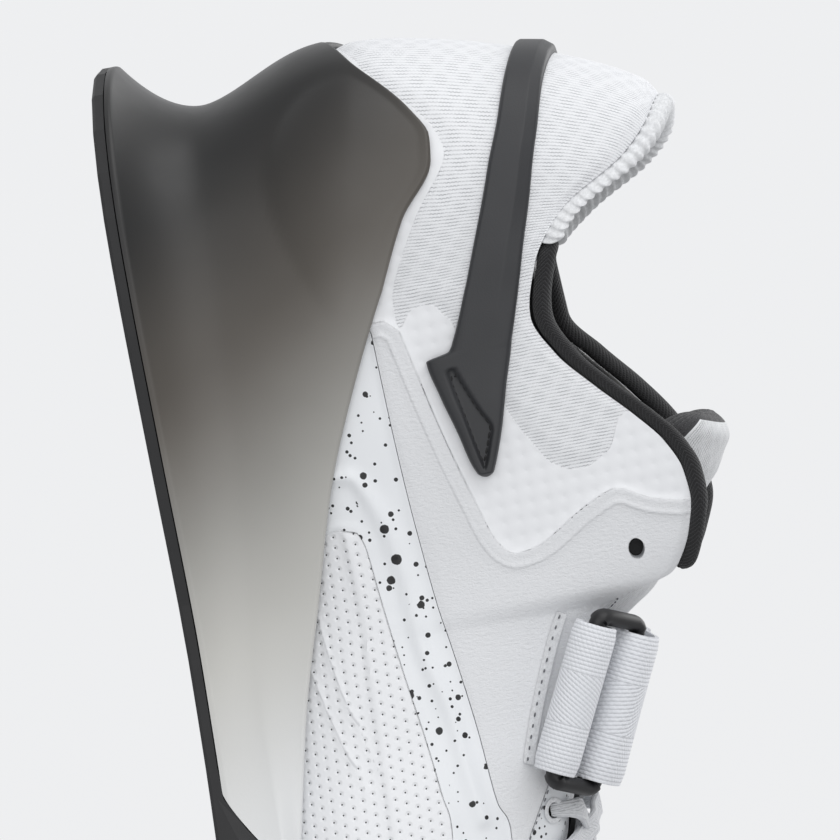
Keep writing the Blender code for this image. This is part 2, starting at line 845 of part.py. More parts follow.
def build_tongue(finish):
    """Padded tongue arched across the throat, tucked under the eyestays."""
    stations = spread(TONGUE[0].along, TONGUE[-1].along, 17)
    across = (-1.0, -0.8, -0.5, 0.0, 0.5, 0.8, 1.0)
    rings = []
    for along in stations:
        s = along * LENGTH
        step = 0.01
        rise = (read(TONGUE, "up", along + step) - read(TONGUE, "up", along - step)) * INSTEP_HEIGHT
        run = (min(along + step, stations[-1]) - max(along - step, stations[0])) * LENGTH
        out = Vector((-rise, 0.0, run)).normalized()
        middle = Vector((s, centre(s), read(TONGUE, "up", along) * INSTEP_HEIGHT))
        half = read(TONGUE, "half", along) * BALL_WIDTH
        drop = read(TONGUE, "drop", along) * BALL_WIDTH
        face = [middle + Vector((0.0, half * t, 0.0)) - out * drop * t * t for t in across]
        back = [point - out * TONGUE_THICK * (1 - 0.6 * abs(t) ** 3)
                for point, t in zip(face, across)]
        rings.append(face + list(reversed(back)))
    return sweep("tongue", rings, finish)


def strap_point(along, across, up):
    """Point in the strap's frame: along the instep, across the foot, up off the instep."""
    cos, sin = math.cos(STRAP_SLOPE), math.sin(STRAP_SLOPE)
    s = STRAP_MIDDLE + along * cos + up * sin
    return Vector((s, across + centre(STRAP_MIDDLE), STRAP_BASE - along * sin + up * cos))


def inside_upper(point):
    """Whether a point beside the instep lies inside the upper's outer face."""
    side = -1 if point.y < centre(point.x) else 1
    line = wall(share_round(point.x), side)
    reach = abs(point.y - centre(point.x))
    if point.z >= line.top_up:
        return False
    return reach < line.reach(max(point.z, line.foot_up)) + OVERLAY_RISE


def girth(turn, along):
    """Distance from the strap's core to the upper's face at a turn from straight up."""
    low, high = 0.0, 0.5 * BALL_WIDTH + STRAP_CORE
    for _ in range(30):
        middle = (low + high) / 2
        across, up = math.sin(turn) * middle, math.cos(turn) * middle - STRAP_CORE
        if inside_upper(strap_point(along, across, up)):
            low = middle
        else:
            high = middle
    return low


def strap_reach(turn, along):
    """Distance from the core to the strap's underside, arched over the throat."""
    if abs(turn) >= STRAP_THROAT:
        return girth(turn, along) + STRAP_LIFT
    edge = girth(math.copysign(STRAP_THROAT, turn), along) + STRAP_LIFT
    return mix(STRAP_ARCH, edge, ease(abs(turn) / STRAP_THROAT))


def strap_polar(turn, along, reach):
    """Point in the strap's frame from a turn and a distance from the core."""
    return strap_point(along, math.sin(turn) * reach, math.cos(turn) * reach - STRAP_CORE)


def webbing_stations():
    """Stations across the webbing's width, along the instep."""
    return spread(-WEBBING / 2, WEBBING / 2, 4)


def fold_centre(along):
    """Reach of the strap's fold, the bar it turns round."""
    return strap_reach(-FOLD_TURN, along) + STRAP_THICK + FOLD_INNER


def build_strap(finish):
    """Instep strap: up from the outer side, round the ring's bar and back over itself."""
    rings = []
    bar = max(fold_centre(along) for along in webbing_stations())
    for along in webbing_stations():
        under, over = [], []
        lower = spread(STRAP_LOWER_END, -FOLD_TURN, 22)
        for turn in lower:
            reach = strap_reach(turn, along)
            lift = bar - STRAP_THICK - FOLD_INNER - strap_reach(-FOLD_TURN, along)
            reach += lift * ease(1 - (turn + FOLD_TURN) / FOLD_TURN)
            under.append(strap_polar(turn, along, reach))
            over.append(strap_polar(turn, along, reach + STRAP_THICK))
        for i in range(1, 8):
            angle = -math.pi / 2 - math.pi * i / 8
            for edge, radius in ((under, FOLD_INNER + STRAP_THICK), (over, FOLD_INNER)):
                across = math.sin(-FOLD_TURN) * bar + radius * math.cos(angle + FOLD_TURN)
                up = math.cos(FOLD_TURN) * bar + radius * math.sin(angle + FOLD_TURN)
                edge.append(strap_point(along, across, up - STRAP_CORE))
        for turn in spread(-FOLD_TURN, STRAP_UPPER_END, 17):
            reach = strap_reach(turn, along) + STRAP_THICK + STRAP_GAP
            blend = ease(1 - (turn + FOLD_TURN) / FOLD_TURN)
            reach = mix(reach, bar + FOLD_INNER, blend)
            under.append(strap_polar(turn, along, reach + STRAP_THICK))
            over.append(strap_polar(turn, along, reach))
        rings.append(under + list(reversed(over)))
    return sweep("strap", rings, finish)


def ring_frame():
    """Middle lines of the ring's two bars: turn and reach of each."""
    fold = max(fold_centre(along) for along in webbing_stations())
    seat = max(girth(-ANCHOR_TURN, along) for along in webbing_stations())
    return (-FOLD_TURN, fold), (-ANCHOR_TURN, seat + STRAP_LIFT + ANCHOR_OUTER)


def flat(turn, reach):
    """Across and up of a turn and reach in the strap's plane."""
    return math.sin(turn) * reach, math.cos(turn) * reach - STRAP_CORE


def build_ring(finish):
    """Moulded ring that joins the strap's fold to the webbing loop."""
    fold, anchor = (flat(*bar) for bar in ring_frame())
    half = RING_LENGTH / 2 - RING_BAR
    corner = RING_CORNER
    path = []
    width = math.dist(fold, anchor)
    for end, start in ((1, 0), (-1, 1)):
        for bend in (0, 1):
            for i in range(4):
                angle = math.pi / 2 * i / 3
                along = end * (half - corner + corner * (math.sin(angle) if bend == 0 else math.cos(angle)))
                near = corner * (1 - (math.cos(angle) if bend == 0 else math.sin(angle)))
                share = near / width
                if (bend == 0) == (start == 0):
                    path.append((along, share))
                else:
                    path.append((along, 1 - share))
    rings = []
    middle = strap_point(0.0, (fold[0] + anchor[0]) / 2, (fold[1] + anchor[1]) / 2)
    spots = [strap_point(along, mix(fold[0], anchor[0], share), mix(fold[1], anchor[1], share))
             for along, share in path]
    across_out = strap_point(0.0, anchor[0], anchor[1]) - strap_point(0.0, fold[0], fold[1])
    plane_normal = across_out.cross(strap_point(1.0, 0, 0) - strap_point(0.0, 0, 0)).normalized()
    count = len(spots)
    for i, spot in enumerate(spots):
        tangent = (spots[(i + 1) % count] - spots[i - 1]).normalized()
        outward = tangent.cross(plane_normal).normalized()
        ring = []
        for k in range(8):
            angle = 2 * math.pi * k / 8
            ring.append(spot + outward * RING_BAR * math.cos(angle)
                        + plane_normal * RING_BAR * math.sin(angle))
        rings.append(ring)
    return loop_round("strap_ring", rings, finish)


def build_anchor(finish):
    """Webbing loop round the ring's lower bar, with its sewn tail flat on the quarter."""
    _, (turn, bar) = ring_frame()
    middle = flat(turn, bar)
    sides = 20
    outer_rings, inner_rings = [], []
    for along in webbing_stations():
        outer, inner = [], []
        for i in range(sides):
            angle = -turn + 2 * math.pi * i / sides
            heading = (math.cos(angle), math.sin(angle))
            inner.append(strap_point(along, middle[0] + heading[0] * (ANCHOR_OUTER - STRAP_THICK),
                                     middle[1] + heading[1] * (ANCHOR_OUTER - STRAP_THICK)))
            outer.append(strap_point(along, middle[0] + heading[0] * ANCHOR_OUTER,
                                     middle[1] + heading[1] * ANCHOR_OUTER))
        tail = sides // 2
        for step, tail_turn, lift in ((0, ANCHOR_TAIL, 1.0), (1, ANCHOR_TAIL, 0.0)):
            reach = girth(-tail_turn, along) + STRAP_LIFT + lift * STRAP_THICK
            outer[tail + step] = strap_polar(-tail_turn, along, reach)
        outer_rings.append(outer)
        inner_rings.append(inner)
    return loop_round("strap_anchor", outer_rings + list(reversed(inner_rings)), finish)


def share_at_reach(line, reach):
    """Share of the wall at a reach from the middle line, above its widest point."""
    low, high = line.wide_up, line.top_up
    for _ in range(30):
        middle = (low + high) / 2
        if line.reach(middle) > reach:
            low = middle
        else:
            high = middle
    return line.share(low)


def cutter(name, shape):
    """Hidden object that cuts another."""
    mesh = bpy.data.meshes.new(name)
    shape.to_mesh(mesh)
    shape.free()
    piece = bpy.data.objects.new(name, mesh)
    bpy.context.scene.collection.objects.link(piece)
    piece.hide_render = True
    piece.display_type = "WIRE"
    return piece


def cut(piece, tool):
    """Cut one object out of another."""
    modifier = piece.modifiers.new(tool.name, "BOOLEAN")
    modifier.operation = "DIFFERENCE"
    modifier.object = tool


def eyelet_seats():
    """Plane, side, wall share and bore of every eyelet."""
    seats = []
    for side in (-1, 1):
        p = share_round(TOP_EYELET * LENGTH)
        line = wall(p, side)
        seats.append((p, side, line.share(line.top_up - TOP_EYELET_DROP), EYELET_BORE))
        for share in LACE_ROWS:
            p = share_round(share * LENGTH)
            line = wall(p, side)
            seats.append((p, side, share_at_reach(line, line.top + EYELET_SET), LACE_BORE))
    return seats


def eyelet_cutter():
    """Pins that bore the eyelets through the upper's wall."""
    shape = bmesh.new()
    for p, side, v, bore in eyelet_seats():
        normal = wall_normal(p, side, v)
        turn = normal.to_track_quat("Z", "Y").to_matrix().to_4x4()
        turn.translation = on_wall(p, side, v)
        bmesh.ops.create_cone(shape, cap_ends=True, segments=10, radius1=bore / 2,
                              radius2=bore / 2, depth=6 * COLLAR_WALL, matrix=turn)
    return cutter("eyelet_cutter", shape)


def groove_cutter(name, shares, width, depth):
    """Bars that cut flex grooves across the tread at the given shares of the length."""
    shape = bmesh.new()
    for share in shares:
        s = share * LENGTH
        size = Matrix.Diagonal((GROOVE_WIDTH, width, 2 * depth, 1.0))
        spot = Matrix.Translation((s, centre(s), FLOOR + spring(s)))
        bmesh.ops.create_cube(shape, size=1.0, matrix=spot @ size)
    return cutter(name, shape)


def throat_height(s, across):
    """Height of what lies under the lace at a place: eyestay or tongue."""
    side = -1 if across < 0 else 1
    line = wall(share_round(s), side)
    if abs(across) < line.top:
        half = read(TONGUE, "half", s / LENGTH) * BALL_WIDTH
        drop = read(TONGUE, "drop", s / LENGTH) * BALL_WIDTH
        return read(TONGUE, "up", s / LENGTH) * INSTEP_HEIGHT - drop * (across / half) ** 2
    return line.height(share_at_reach(line, abs(across))) + OVERLAY_RISE


def taut(levels):
    """Heights of a taut lace over evenly spaced levels: their upper hull."""
    hull = []
    for spot in enumerate(levels):
        while len(hull) > 1:
            (x0, z0), (x1, z1) = hull[-2:]
            if (z1 - z0) * (spot[0] - x0) > (spot[1] - z0) * (x1 - x0):
                break
            hull.pop()
        hull.append(spot)
    heights = []
    for x in range(len(levels)):
        k = max(i for i in range(len(hull) - 1) if hull[i][0] <= x)
        (x0, z0), (x1, z1) = hull[k], hull[k + 1]
        heights.append(mix(z0, z1, (x - x0) / (x1 - x0)))
    return heights


def lace_strip(name, start, end, finish):
    """Flat lace drawn tight from one eyelet to another over eyestays and tongue."""
    spots = []
    for t in spread(0.0, 1.0, LACE_STATIONS):
        s, across = mix(start[0], end[0], t), mix(start[1], end[1], t)
        under = [throat_height(s + ds, across) for ds in (-LACE_WIDTH / 2, 0.0, LACE_WIDTH / 2)]
        spots.append((s, across, max(under)))
    slope = (end[0] - start[0]) / (end[1] - start[1])
    wide = Vector((1.0, -slope, 0.0)).normalized() * LACE_WIDTH / 2
    up = Vector((0.0, 0.0, LACE_THICK))
    rings = []
    for (s, across, _), level in zip(spots, taut([z for _, _, z in spots])):
        spot = Vector((s, across + centre(s), level + LACE_LIFT))
        rings.append([spot - wide, spot + wide, spot + wide + up, spot - wide + up])
    return sweep(name, rings, finish)


def eyelet(share, side):
    """Place of an eyelet: distance from the heel and distance across."""
    s = share * LENGTH
    line = wall(share_round(s), side)
    return s, side * (line.top + EYELET_SET)


def build_lace(finish):
    """Lace drawn tight: crossings between the rows of eyelets and the bar below, one solid."""
    last = LACE_ROWS[-1]
    lace = lace_strip("lace", eyelet(last, -1), eyelet(last, 1), finish)
    strips = [lace]
    for row, (upper_row, lower_row) in enumerate(zip(LACE_ROWS, LACE_ROWS[1:]), 1):
        for side in (-1, 1):
            strip = lace_strip(f"lace_strip_{row}_{side + 1}", eyelet(upper_row, side),
                               eyelet(lower_row, -side), finish)
            strip.hide_render = True
            strip.display_type = "WIRE"
            weld = lace.modifiers.new(strip.name, "BOOLEAN")
            weld.operation = "UNION"
            weld.object = strip
            strips.append(strip)
    return strips


def stand_at_origin(pieces):
    """Move the shoe so that its box stands centred on the origin."""
    bpy.context.view_layer.update()
    shown = [piece for piece in pieces if not piece.hide_render]
    corners = [vertex.co for piece in shown for vertex in piece.data.vertices]
    middle_x = (min(c.x for c in corners) + max(c.x for c in corners)) / 2
    middle_y = (min(c.y for c in corners) + max(c.y for c in corners)) / 2
    shift = Vector((-middle_x, -middle_y, -FLOOR))
    for piece in pieces:
        for vertex in piece.data.vertices:
            vertex.co += shift
    return shift


def main():
    """Clear the scene and build every piece of the shoe."""
    for old in list(bpy.data.objects):
        bpy.data.objects.remove(old)
    rubber = material("black_rubber", (0.02, 0.02, 0.022), 0.75)
    plastic = material("smoked_plastic", (0.20, 0.19, 0.18), 0.35)
    textile = material("white_textile", (0.82, 0.83, 0.84), 0.85)
    black_textile = material("black_textile", (0.02, 0.02, 0.02), 0.9)
    charcoal = material("charcoal_plastic", (0.05, 0.05, 0.055), 0.45)
    foam = material("grey_insole", (0.25, 0.25, 0.26), 0.9)
    collar = spread(*COLLAR_SPAN, 18)
    roll = spread(0.0, ROLL_END, 11)
    outsole = build_outsole(rubber)
    upper = build_upper(textile)
    eyelets = eyelet_cutter()
    forefoot = groove_cutter("forefoot_grooves", FOREFOOT_GROOVES, 2 * BALL_WIDTH, GROOVE_DEPTH)
    heel = groove_cutter("heel_grooves", HEEL_GROOVES, HEEL_GROOVE_SPAN * BALL_WIDTH,
                         HEEL_GROOVE_DEPTH)
    cut(upper, eyelets)
    cut(outsole, forefoot)
    cut(outsole, heel)
    pieces = [
        outsole,
        upper,
        eyelets,
        forefoot,
        heel,
        build_clip(plastic),
        build_insole(foam),
        build_tongue(textile),
        build_bar(charcoal),
        build_bead("heel_roll", [(p, -1) for p in reversed(roll)] + [(p, 1) for p in roll[1:]],
                   textile),
        build_bead("collar_binding_inner", [(p, -1) for p in collar], black_textile),
        build_bead("collar_binding_outer", [(p, 1) for p in collar], black_textile),
        build_strap(textile),
        build_ring(rubber),
        build_anchor(textile),
        *build_lace(textile),
    ]
    stand_at_origin(pieces)


main()
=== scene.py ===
"""Looks of a left weightlifting shoe, dressed over its fixed frame.

The toe points along +X, the inner side faces -Y and +Z is up. Every soft or moulded piece is
grown from one last form: upright planes fan round the heel, cross the foot and fan round the
toe, so a place on the shoe is a share p of the way round one side and a height.
"""

import logging
import math
from dataclasses import dataclass, field
from enum import Enum
from typing import Callable, Iterable, NamedTuple, Sequence

import bmesh
import bpy
import numpy as np
from mathutils import Matrix, Vector


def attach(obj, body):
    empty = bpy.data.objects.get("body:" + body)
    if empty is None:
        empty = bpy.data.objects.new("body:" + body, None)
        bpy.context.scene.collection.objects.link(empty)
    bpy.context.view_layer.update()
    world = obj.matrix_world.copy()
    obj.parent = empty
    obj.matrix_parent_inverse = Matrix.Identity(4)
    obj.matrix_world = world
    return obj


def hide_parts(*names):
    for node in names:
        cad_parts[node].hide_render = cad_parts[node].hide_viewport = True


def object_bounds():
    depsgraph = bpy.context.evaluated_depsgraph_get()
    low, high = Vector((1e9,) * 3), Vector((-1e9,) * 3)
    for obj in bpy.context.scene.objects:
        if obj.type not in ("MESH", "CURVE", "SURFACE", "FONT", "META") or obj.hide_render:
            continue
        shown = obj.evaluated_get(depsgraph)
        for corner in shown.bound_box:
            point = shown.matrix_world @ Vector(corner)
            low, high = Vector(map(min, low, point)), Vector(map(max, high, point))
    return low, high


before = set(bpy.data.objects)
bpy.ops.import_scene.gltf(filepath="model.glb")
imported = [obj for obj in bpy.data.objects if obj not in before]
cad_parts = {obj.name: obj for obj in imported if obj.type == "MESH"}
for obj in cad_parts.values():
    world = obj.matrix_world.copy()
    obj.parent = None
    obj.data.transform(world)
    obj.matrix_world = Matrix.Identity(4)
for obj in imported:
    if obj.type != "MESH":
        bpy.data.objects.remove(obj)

CAD_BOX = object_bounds()

MM = 0.001
CLEAR = 0.3 * MM
LOG = logging.getLogger("shoe")

Colour = tuple[float, float, float]
Column = tuple[float, int]
Face = tuple[int, ...]
Outline = Sequence[tuple[float, float]]
Piece = bpy.types.Object
Material = bpy.types.Material
Node = bpy.types.Node
Socket = bpy.types.NodeSocket

SIDES = (-1, 1)


class Plan(NamedTuple):
    """Ground outline: share of the length, middle line and half width in ball widths."""

    along: float
    centre: float
    half: float


PLAN = tuple(Plan(*row) for row in (
    (0.00, 0.000, 0.385), (0.17, 0.000, 0.390), (0.30, 0.012, 0.372), (0.43, 0.042, 0.360),
    (0.53, 0.046, 0.400), (0.62, 0.034, 0.460), (0.70, 0.010, 0.500), (0.80, -0.022, 0.492),
    (0.90, -0.045, 0.450), (1.00, -0.060, 0.410),
))


class Bed(NamedTuple):
    """Foot bed: share of the length and share of the heel lift left there."""

    along: float
    lift: float


BED = tuple(Bed(*row) for row in (
    (0.00, 1.000), (0.22, 1.000), (0.35, 0.815), (0.48, 0.520), (0.56, 0.310), (0.624, 0.140),
    (0.74, 0.000), (1.00, 0.000),
))


class Body(NamedTuple):
    """Upper's wall: feather and widest lines in from the ground line, widest height, arch."""

    round: float
    foot_in: float
    wide_in: float
    wide_up: float
    arch: float


BODY = tuple(Body(*row) for row in (
    (0.00, 0.157, 0.044, 0.470, 0.40), (0.05, 0.150, 0.047, 0.462, 0.38),
    (0.10, 0.126, 0.053, 0.446, 0.30), (0.15, 0.108, 0.060, 0.423, 0.15),
    (0.20, 0.100, 0.067, 0.390, 0.05), (0.36, 0.088, 0.056, 0.325, 0.08),
    (0.44, 0.084, 0.046, 0.310, 0.25), (0.52, 0.080, 0.042, 0.293, 0.60),
    (0.64, 0.078, 0.046, 0.244, 0.62), (0.77, 0.072, 0.050, 0.215, 0.58),
    (0.90, 0.072, 0.052, 0.246, 0.66), (1.00, 0.076, 0.056, 0.276, 0.72),
))


class Top(NamedTuple):
    """Upper's top edge: reach in ball widths, heights of both sides in collar heights."""

    round: float
    out: float
    up: float
    outer_up: float


TOP = tuple(Top(*row) for row in (
    (0.000, 0.306, 1.000, 1.000), (0.050, 0.288, 0.984, 0.984), (0.100, 0.266, 0.925, 0.917),
    (0.150, 0.270, 0.808, 0.788), (0.180, 0.276, 0.763, 0.722), (0.200, 0.280, 0.742, 0.695),
    (0.249, 0.284, 0.716, 0.697), (0.286, 0.280, 0.748, 0.749), (0.323, 0.276, 0.809, 0.811),
    (0.356, 0.272, 0.870, 0.858), (0.385, 0.268, 0.915, 0.888), (0.414, 0.264, 0.939, 0.905),
    (0.438, 0.258, 0.943, 0.912), (0.471, 0.242, 0.927, 0.892), (0.496, 0.224, 0.901, 0.862),
    (0.508, 0.214, 0.878, 0.838), (0.526, 0.200, 0.752, 0.748), (0.562, 0.186, 0.711, 0.711),
    (0.603, 0.177, 0.679, 0.679), (0.644, 0.170, 0.650, 0.650), (0.726, 0.160, 0.594, 0.594),
    (0.800, 0.150, 0.553, 0.553), (0.900, 0.150, 0.536, 0.536), (1.000, 0.150, 0.528, 0.528),
))


class Clip(NamedTuple):
    """Heel clip: top edge and waist heights in collar heights, waist inward in ball widths."""

    round: float
    top: float
    waist_up: float
    waist_in: float


CLIP = tuple(Clip(*row) for row in (
    (0.000, 0.392, 0.160, 0.115), (0.050, 0.462, 0.160, 0.112), (0.085, 0.566, 0.160, 0.106),
    (0.100, 0.594, 0.160, 0.100), (0.115, 0.590, 0.158, 0.094), (0.150, 0.520, 0.156, 0.082),
    (0.200, 0.459, 0.150, 0.068), (0.305, 0.354, 0.135, 0.054), (0.373, 0.297, 0.122, 0.047),
    (0.470, 0.236, 0.104, 0.037), (0.578, 0.174, 0.092, 0.026), (0.709, 0.124, 0.098, 0.013),
))


class Bar(NamedTuple):
    """Heel bar: lower and upper edges in collar heights."""

    round: float
    low: float
    high: float


BAR = tuple(Bar(*row) for row in (
    (0.000, 0.754, 0.822), (0.033, 0.747, 0.814), (0.081, 0.721, 0.791), (0.119, 0.686, 0.765),
    (0.165, 0.645, 0.736), (0.212, 0.607, 0.709), (0.258, 0.567, 0.680), (0.267, 0.556, 0.674),
    (0.273, 0.512, 0.671), (0.306, 0.525, 0.650), (0.344, 0.545, 0.628), (0.373, 0.558, 0.607),
    (0.388, 0.570, 0.594),
))


class Tongue(NamedTuple):
    """Tongue's middle line: share of the length, height in instep heights, half width, drop."""

    along: float
    up: float
    half: float
    drop: float


TONGUE = tuple(Tongue(*row) for row in (
    (0.352, 1.370, 0.165, 0.040), (0.380, 1.325, 0.195, 0.075), (0.405, 1.262, 0.200, 0.085),
    (0.440, 1.175, 0.195, 0.080), (0.472, 1.082, 0.195, 0.085), (0.493, 0.985, 0.200, 0.095),
    (0.540, 0.912, 0.215, 0.115), (0.587, 0.845, 0.225, 0.125), (0.624, 0.793, 0.230, 0.130),
    (0.671, 0.745, 0.230, 0.130), (0.711, 0.706, 0.225, 0.125), (0.740, 0.684, 0.215, 0.110),
    (0.762, 0.668, 0.205, 0.100),
))


def read(table: Sequence[NamedTuple], column: str, at: float) -> float:
    """Smooth monotone reading of one column of a table.

    Args:
        table: Rows whose first column rises.
        column: Name of the column read.
        at: Place along the first column.

    Returns:
        The value there.
    """
    places = [row[0] for row in table]
    values = [getattr(row, column) for row in table]
    if at <= places[0]:
        return values[0]
    if at >= places[-1]:
        return values[-1]
    spans = [b - a for a, b in zip(places, places[1:])]
    slopes = [(b - a) / w for a, b, w in zip(values, values[1:], spans)]
    tangents = [slopes[0]]
    for before, after in zip(slopes, slopes[1:]):
        same_way = before * after > 0
        tangents.append(2 * before * after / (before + after) if same_way else 0.0)
    tangents.append(slopes[-1])
    k = max(i for i in range(len(spans)) if places[i] <= at)
    t = (at - places[k]) / spans[k]
    lead, trail = tangents[k] * spans[k], tangents[k + 1] * spans[k]
    return (values[k] * (1 + 2 * t) * (1 - t) ** 2 + lead * t * (1 - t) ** 2
            + values[k + 1] * t * t * (3 - 2 * t) - trail * t * t * (1 - t))


def mix(a: float, b: float, t: float) -> float:
    """Straight blend from a to b."""
    return a + (b - a) * t


def ease(t: float) -> float:
    """Soft step from 0 to 1."""
    t = min(1.0, max(0.0, t))
    return t * t * (3 - 2 * t)


def spread(first: float, last: float, count: int) -> list[float]:
    """Evenly spaced values from first to last."""
    return [mix(first, last, i / (count - 1)) for i in range(count)]


class Wall:
    """The upper's outer line in one plane: feather, widest point and top edge."""

    BREAK = 0.3

    def __init__(self, last: "Last", p: float, side: int) -> None:
        """Read the wall's points.

        Args:
            last: The last form.
            p: Share of the way round one side.
            side: Sign of the side.
        """
        reach = last.ground_reach(p)
        self.ground = reach
        self.foot = reach - read(BODY, "foot_in", p) * last.ball_width
        self.wide = reach - read(BODY, "wide_in", p) * last.ball_width
        self.top = read(TOP, "out", p) * last.ball_width
        self.foot_up = last.bed(last.distance(p, self.foot)) + CLEAR
        self.wide_up = read(BODY, "wide_up", p) * last.collar
        self.top_up = read(TOP, "up" if side < 0 else "outer_up", p) * last.collar
        self.arch = read(BODY, "arch", p)

    def height(self, v: float) -> float:
        """Height at share v of the wall, from the feather line to the top edge."""
        if v < self.BREAK:
            return mix(self.foot_up, self.wide_up, v / self.BREAK)
        turn = (v - self.BREAK) / (1 - self.BREAK) * math.pi / 2
        return mix(self.wide_up, self.top_up, math.sin(turn))

    def share(self, z: float) -> float:
        """Share v of the wall at a height."""
        if z <= self.wide_up:
            return self.BREAK * max(0.0, z - self.foot_up) / (self.wide_up - self.foot_up)
        t = min(1.0, (z - self.wide_up) / (self.top_up - self.wide_up))
        return mix(self.BREAK, 1.0, math.asin(t) / (math.pi / 2))

    def reach(self, z: float) -> float:
        """Reach of the wall at a height."""
        if z <= self.wide_up:
            q = (self.wide_up - z) / (self.wide_up - self.foot_up)
            return self.wide - (self.wide - self.foot) * q * q
        t = min(1.0, (z - self.wide_up) / (self.top_up - self.wide_up))
        fall = (1 - self.arch) * t ** 1.3 + self.arch * (1 - math.sqrt(1 - t * t))
        return self.wide - (self.wide - self.top) * fall


@dataclass
class Last:
    """The form that every piece of the shoe is grown from."""

    length: float = 298.0 * MM
    ball_width: float = 108.0 * MM
    heel_seat: float = 31.5 * MM
    ball_seat: float = 10.0 * MM
    toe_spring: float = 8.0 * MM
    collar: float = 123.0 * MM
    instep: float = 92.0 * MM
    wall_thick: float = 2.4 * MM
    collar_thick: float = 4.6 * MM
    floor: float = -2.8 * MM
    collar_pad: float = 26.0 * MM
    heel_fan: float = 0.2
    toe_fan: float = 0.8
    heel_pivot: float = 0.208
    toe_pivot: float = 0.698
    heel_round: float = 0.155
    toe_round: float = 0.28
    heel_curve: float = 2.2
    toe_curve: float = 2.4
    walls: dict[Column, Wall] = field(default_factory=dict)
    grounds: dict[float, float] = field(default_factory=dict)
    shift: Vector = field(default_factory=Vector)

    def __post_init__(self) -> None:
        """Centre the form as the frame is centred."""
        reaches = [self.place(p, side, self.ground_reach(p), 0.0).y
                   for p in spread(0.0, 1.0, 201) for side in SIDES]
        self.shift = Vector((-self.length / 2, -(min(reaches) + max(reaches)) / 2, -self.floor))

    def centre(self, s: float) -> float:
        """Middle line's shift to the outer side at distance s from the heel."""
        return read(PLAN, "centre", s / self.length) * self.ball_width

    def half_width(self, s: float) -> float:
        """Half width of the ground line at distance s from the heel."""
        if s <= 0 or s >= self.length:
            return 0.0
        half = read(PLAN, "half", s / self.length) * self.ball_width
        heel, toe = self.heel_round * self.length, self.toe_round * self.length
        if s < heel:
            half *= (1 - (1 - s / heel) ** self.heel_curve) ** (1 / self.heel_curve)
        if s > self.length - toe:
            t = (s - self.length + toe) / toe
            half *= (1 - t ** self.toe_curve) ** (1 / self.toe_curve)
        return half

    def plane(self, p: float) -> tuple[float, float, float]:
        """Foot and direction of the upright plane at share p round one side."""
        heel, toe = self.heel_pivot * self.length, self.toe_pivot * self.length
        if p < self.heel_fan:
            turn = p / self.heel_fan * math.pi / 2
            return heel, -math.cos(turn), math.sin(turn)
        if p > self.toe_fan:
            turn = (1 - p) / (1 - self.toe_fan) * math.pi / 2
            return toe, math.cos(turn), math.sin(turn)
        return mix(heel, toe, (p - self.heel_fan) / (self.toe_fan - self.heel_fan)), 0.0, 1.0

    def share_round(self, s: float) -> float:
        """Share round the side of the plane that crosses the foot at distance s."""
        heel, toe = self.heel_pivot * self.length, self.toe_pivot * self.length
        return mix(self.heel_fan, self.toe_fan, (s - heel) / (toe - heel))

    def distance(self, p: float, reach: float) -> float:
        """Distance from the heel of a point at a reach out in plane p."""
        foot, dx, _ = self.plane(p)
        return foot + dx * reach

    def ground_reach(self, p: float) -> float:
        """Reach of the ground line in plane p."""
        key = round(p, 7)
        if key not in self.grounds:
            foot, dx, dy = self.plane(p)
            low, high = 0.0, self.length
            for _ in range(40):
                middle = (low + high) / 2
                if dy * middle < self.half_width(foot + dx * middle):
                    low = middle
                else:
                    high = middle
            self.grounds[key] = low
        return self.grounds[key]

    def place(self, p: float, side: int, reach: float, z: float) -> Vector:
        """Point of the shoe from its plane, side, reach and height."""
        foot, dx, dy = self.plane(p)
        s = foot + dx * reach
        return Vector((s, side * dy * reach + self.centre(s), z)) + self.shift

    def spring(self, s: float) -> float:
        """Toe spring of the ground line at distance s from the heel."""
        start = 0.75 * self.length
        return self.toe_spring * max(0.0, (s - start) / (self.length - start)) ** 2

    def bed(self, s: float) -> float:
        """Height of the foot bed at distance s from the heel."""
        lift = read(BED, "lift", s / self.length)
        return mix(self.ball_seat, self.heel_seat, lift) + self.spring(s)

    def wall(self, p: float, side: int) -> Wall:
        """The wall in plane p on one side, worked out once."""
        key = (round(p, 7), side)
        if key not in self.walls:
            self.walls[key] = Wall(self, *key)
        return self.walls[key]

    def on_wall(self, p: float, side: int, v: float) -> Vector:
        """Point on the upper's plain outer face."""
        line = self.wall(p, side)
        z = line.height(v)
        return self.place(p, side, line.reach(z), z)

    def normal(self, p: float, side: int, v: float) -> Vector:
        """Outward normal of the upper's plain outer face."""
        dp, dv = 0.004, 0.01
        v0, v1 = max(0.0, v - dv), min(1.0, v + dv)
        if p in (0.0, 1.0):
            other = dp if p == 0.0 else 1.0 - dp
            along = self.on_wall(other, 1, v) - self.on_wall(other, -1, v)
            along *= side if p == 0.0 else -side
        else:
            along = (self.on_wall(min(1.0, p + dp), side, v)
                     - self.on_wall(max(0.0, p - dp), side, v))
        up = self.on_wall(p, side, v1) - self.on_wall(p, side, v0)
        out = along.cross(up) if side < 0 else up.cross(along)
        return out.normalized()

    def off_wall(self, p: float, side: int, v: float, out: float) -> Vector:
        """Point at a distance out from the upper's plain outer face."""
        return self.on_wall(p, side, v) + self.normal(p, side, v) * out

    def thickness(self, p: float, side: int, z: float) -> float:
        """The upper's wall: thin at the foot, padded near the collar."""
        pad = ease(1 - (self.wall(p, side).top_up - z) / self.collar_pad)
        return mix(self.wall_thick, self.collar_thick, pad * ease((0.53 - p) / 0.06))

